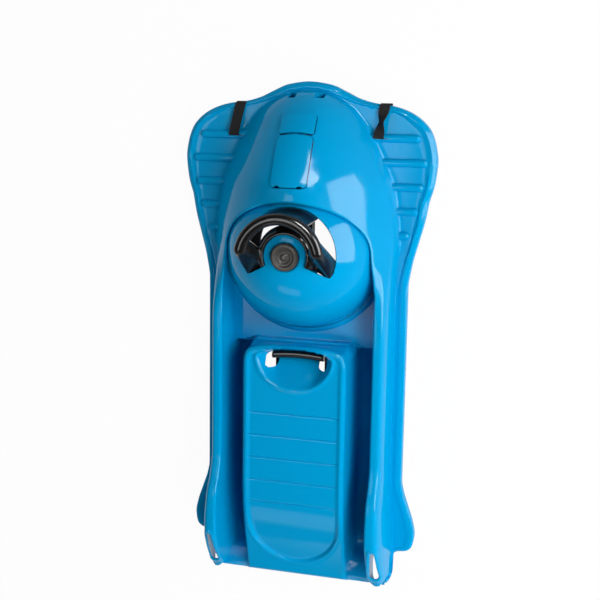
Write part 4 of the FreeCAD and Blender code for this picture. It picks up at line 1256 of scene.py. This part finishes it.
door = hood_patch("storage_door_panel", door_panel_distance, door_patch_y, door_patch_half, 0.0)
thicken(door, door_thickness)
shade(door, hull_blue)
dress(door, "storage_door", "hull_blue", "storage_door")
panel = hood_patch("hood_raised_panel", inner_panel_distance, panel_patch_y, panel_patch_half, panel_rise)
thicken(panel, panel_sink)
bevel = panel.modifiers.new("edge", "BEVEL")
bevel.width = panel_bevel * mm
bevel.segments = 3
bevel.limit_method = "ANGLE"
bevel.angle_limit = math.radians(small_crease)
settle(panel)
shade(panel, hull_blue, small_crease)
dress(panel, "sled", "hull_blue")
paint_node("storage_bin", blade_black)
paint_node("door_hinge_pin", steel)


# Hand brake. A glossy black lever with a slightly bowed bar in the hand scoop swings on a steel shaft under
# the seat and presses a toothed steel claw into the snow.

bar_bow = 4.0
bar_half_length = 59.0
bar_span_y = (-62.0, -52.0)
bar_span_z = (84.0, 96.0)
arm_splay = 3.0
arm_top_z = 97.0
arm_fade_z = 10.0
arm_span_y = (-110.0, -70.0)
lever_voxel = 1.6
lever_smooth_steps = 6
copy_gap = 0.01


def copy_of(name, node):
    """A merged copy of a carried-over solid's mesh."""
    piece = new_object(name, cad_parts[node].data.copy())
    reworked(piece, weld(copy_gap))
    return piece


brake_black = moulded("brake_black", (0.006, 0.006, 0.0065), 0.08, 0.14, 0.12, 0.03, gloss=0.22)
lever = copy_of("brake_lever_bar", "brake_lever")
skin(lever, lever_voxel, lever_smooth_steps)
for vert in lever.data.vertices:
    share = eased(vert.co.y / mm, *bar_span_y) * eased(vert.co.z / mm, *bar_span_z)
    splay = eased(arm_top_z - vert.co.z / mm, 0.0, arm_fade_z) * eased(vert.co.y / mm, *arm_span_y)
    vert.co.x += math.copysign(arm_splay * mm * float(splay), vert.co.x)
    vert.co.y += bar_bow * mm * float(share) * max(0.0, 1.0 - (vert.co.x / mm / bar_half_length) ** 2)
shade(lever, brake_black, all_smooth)
dress(lever, "brake", "handle_black", "brake_lever")


# Wing straps. A loop of woven black webbing on each wing comes up through a slot, lies over the plate's front
# edge and is sewn to itself below; the right one is partly twisted.

strap_width = 23.0
strap_thickness = 2.0
strap_line = ((440.5, 30), (440.5, 64.2), (456, 64.6), (500, 59.5), (513.5, 57.5), (516.3, 44), (515, 31),
              (500, 29.5), (470, 29.5), (440.5, 30))
strap_bends = (0, 5, 6, 10, 5, 8, 4, 6, 6, 0)
strap_steps = (8, 5, 12, 4, 3, 3, 3, 5, 3)
strap_bend_steps = (6, 5, 5, 5, 5, 5, 4, 4)
strap_columns = 9
strap_run = (442.0, 513.0)
strap_kinds = ((-1, "left", (-169.0, -154.0), 0.0), (1, "right", (158.0, 170.5), 0.95))
twist_middle = 476.0
twist_spread = 17.0
twist_heights = (50.0, 55.0)
twist_sink = 4.0


def make_webbing():
    """Dull black webbing: a fine twill in colour and height, with paler worn edges of the yarns."""
    material = bpy.data.materials.new("webbing")
    material.use_nodes = True
    tree = material.node_tree
    shader = tree.nodes["Principled BSDF"]
    place = add_node(tree, "ShaderNodeTexCoord").outputs["Object"]
    waves = []
    for turn in (0.6, -0.6):
        turned = add_node(tree, "ShaderNodeMapping", {"Vector": place}, {"Rotation": (0.0, 0.0, turn)})
        waves.append(add_node(tree, "ShaderNodeTexWave",
                              {"Vector": turned.outputs["Vector"]}, {"Scale": 170.0, "Distortion": 0.6}))
    both = add_node(tree, "ShaderNodeMath",
                    {0: waves[0].outputs["Fac"], 1: waves[1].outputs["Fac"]}, None, "MULTIPLY")
    tone = add_node(tree, "ShaderNodeMix")
    tone.data_type = "RGBA"
    tone.inputs["A"].default_value = (0.008, 0.008, 0.009, 1.0)
    tone.inputs["B"].default_value = (0.045, 0.043, 0.045, 1.0)
    tree.links.new(both.outputs[0], tone.inputs["Factor"])
    tree.links.new(tone.outputs["Result"], shader.inputs["Base Color"])
    bump = add_node(tree, "ShaderNodeBump",
                    {"Height": both.outputs[0]}, {"Strength": 0.5, "Distance": 0.0006})
    tree.links.new(bump.outputs["Normal"], shader.inputs["Normal"])
    shader.inputs["Roughness"].default_value = 0.82
    shader.inputs["Sheen Weight"].default_value = 0.03
    shader.inputs["Specular IOR Level"].default_value = 0.04
    return material


webbing = make_webbing()
strap_path = rounded_line(strap_line, strap_bends, strap_steps, strap_bend_steps)
for side, name, ends, twist in strap_kinds:
    rows = []
    for y, z in strap_path:
        share = twist * math.exp(-((y - twist_middle) / twist_spread) ** 2) * float(eased(z, *twist_heights))
        across = np.linspace(-0.5, 0.5, strap_columns) * strap_width
        x = float(np.interp(y, strap_run, ends)) + across * math.cos(share)
        lift = math.sin(share) * (strap_width / 2.0 - twist_sink) + across * math.sin(share)
        rows.append(np.stack([x, np.full(strap_columns, y), z + lift], -1))
    strap = sheet_from(name + "_wing_strap", [np.stack(rows)], False)
    reworked(strap, turn_outward)
    thicken(strap, strap_thickness)
    shade(strap, webbing, small_crease)
    dress(strap, "sled", "webbing", name + "_strap")


# Fasteners and other small parts keep their solids: zinc-plated bolts, screws, nuts, clips, the brake shaft
# and its claw, and the black blade.

for name in ("handle_screws", "hub_bolt", "hub_washer", "blade_cross_bolt", "blade_cross_nut",
             "bearing_ring_screws", "brake_claw", "claw_screws", "brake_shaft", "brake_shaft_clips"):
    paint_node(name, steel)
paint_node("steering_blade", blade_black)


# Camera and stage. A long lens looks down on the sled from above its nose and its right side, and a pale
# floor and backdrop stand for the white studio.

camera = new_object("camera", bpy.data.cameras.new("camera"))
camera.data.sensor_width = 36.0
camera.data.lens = 67.92
camera_right = Vector((0.9617, 0.0161, -0.2737))
camera_up = Vector((-0.0634, 0.9843, -0.1646))
camera_back = Vector((0.2667, 0.1756, 0.9476))
turn = Matrix((camera_right, camera_up, camera_back)).transposed().to_4x4()
camera_place = (0.665, 0.5238, 2.4602)
camera.matrix_world = Matrix.Translation(camera_place) @ turn
bpy.context.scene.camera = camera

floor_half = 6.0
stage_z = -0.001
floor_grey = 0.85
floor_glow_share = 0.96
floor_corners = [(x * floor_half, y * floor_half, stage_z) for x, y in ((-1, -1), (1, -1), (1, 1), (-1, 1))]
floor = new_mesh("studio_floor", floor_corners, [(0, 1, 2, 3)])
floor_paint = bpy.data.materials.new("studio_white")
floor_paint.use_nodes = True
tree = floor_paint.node_tree
tree.nodes.clear()
path = add_node(tree, "ShaderNodeLightPath")
paint = add_node(tree, "ShaderNodeBsdfDiffuse", None, {"Color": (floor_grey, floor_grey, floor_grey, 1.0)})
glow = add_node(tree, "ShaderNodeEmission", None, {"Color": (1.0, 1.0, 1.0, 1.0)})
seen = path.outputs["Is Camera Ray"]
for word in ("Is Glossy Ray", "Is Transmission Ray"):
    seen = add_node(tree, "ShaderNodeMath", {0: seen, 1: path.outputs[word]}, None, "MAXIMUM").outputs[0]
glow_share = add_node(tree, "ShaderNodeMath", {0: seen}, {1: floor_glow_share}, "MULTIPLY")
mix = add_node(tree, "ShaderNodeMixShader",
               {"Fac": glow_share.outputs[0], 1: paint.outputs[0], 2: glow.outputs[0]})
add_node(tree, "ShaderNodeOutputMaterial", {"Surface": mix.outputs[0]})
floor.data.materials.append(floor_paint)

backdrop_level = 0.6
ceiling_level = 0.08
backdrop_top = (0.10, 0.42)
world = bpy.data.worlds.new("studio")
bpy.context.scene.world = world
world.use_nodes = True
tree = world.node_tree
sky = tree.nodes["Background"]
sky.inputs["Color"].default_value = (1.0, 1.0, 1.0, 1.0)
way = add_node(tree, "ShaderNodeTexCoord")
height = add_node(tree, "ShaderNodeSeparateXYZ", {"Vector": way.outputs["Generated"]})
level = add_node(tree, "ShaderNodeMapRange")
level.interpolation_type = "SMOOTHSTEP"
level_values = {"From Min": backdrop_top[0], "From Max": backdrop_top[1], "To Min": backdrop_level,
                "To Max": ceiling_level}
for word, value in level_values.items():
    level.inputs[word].default_value = value
tree.links.new(height.outputs["Z"], level.inputs["Value"])
tree.links.new(level.outputs["Result"], sky.inputs["Strength"])


def soft_box(name, place, aim, size, radiance, card):
    """A rectangular soft box of one brightness: a card is only mirrored, the others only light."""
    lamp = new_object(name, bpy.data.lights.new(name, "AREA"))
    lamp.data.shape = "RECTANGLE"
    lamp.data.size, lamp.data.size_y = size
    lamp.data.energy = radiance * math.pi * size[0] * size[1]
    lamp.location = place
    lamp.rotation_euler = (Vector(aim) - Vector(place)).to_track_quat("-Z", "Y").to_euler()
    lamp.visible_diffuse = not card
    lamp.visible_glossy = card


# Name, place, aim, size, brightness and whether it is a card.
soft_boxes = (
    ("side_card", (2.1, 0.6, 0.85), (0, 0.15, 0.1), (2.0, 1.3), 24.0, True),
    ("front_card", (0.72, 1.62, 1.63), (0, 0.2, 0.1), (0.8, 0.8), 60.0, True),
    ("overhead_card", (-0.65, 0.25, 2.6), (-0.1, 0.2, 0.1), (1.6, 0.8), 9.0, True),
    ("rear_card", (-0.5, -1.9, 1.4), (0, -0.4, 0.1), (1.2, 0.5), 4.0, True),
    ("key_light", (1.8, 0.5, 1.6), (0, 0.0, 0.1), (1.3, 1.3), 8.2, False),
    ("rear_light", (1.5, -1.5, 2.1), (0, -0.2, 0.1), (1.2, 1.2), 9.0, False),
    ("fill_light", (-1.6, 1.0, 2.0), (0, 0.1, 0.1), (1.2, 1.2), 2.6, False),
)
for given in soft_boxes:
    soft_box(*given)
bpy.context.scene.view_settings.view_transform = "Standard"
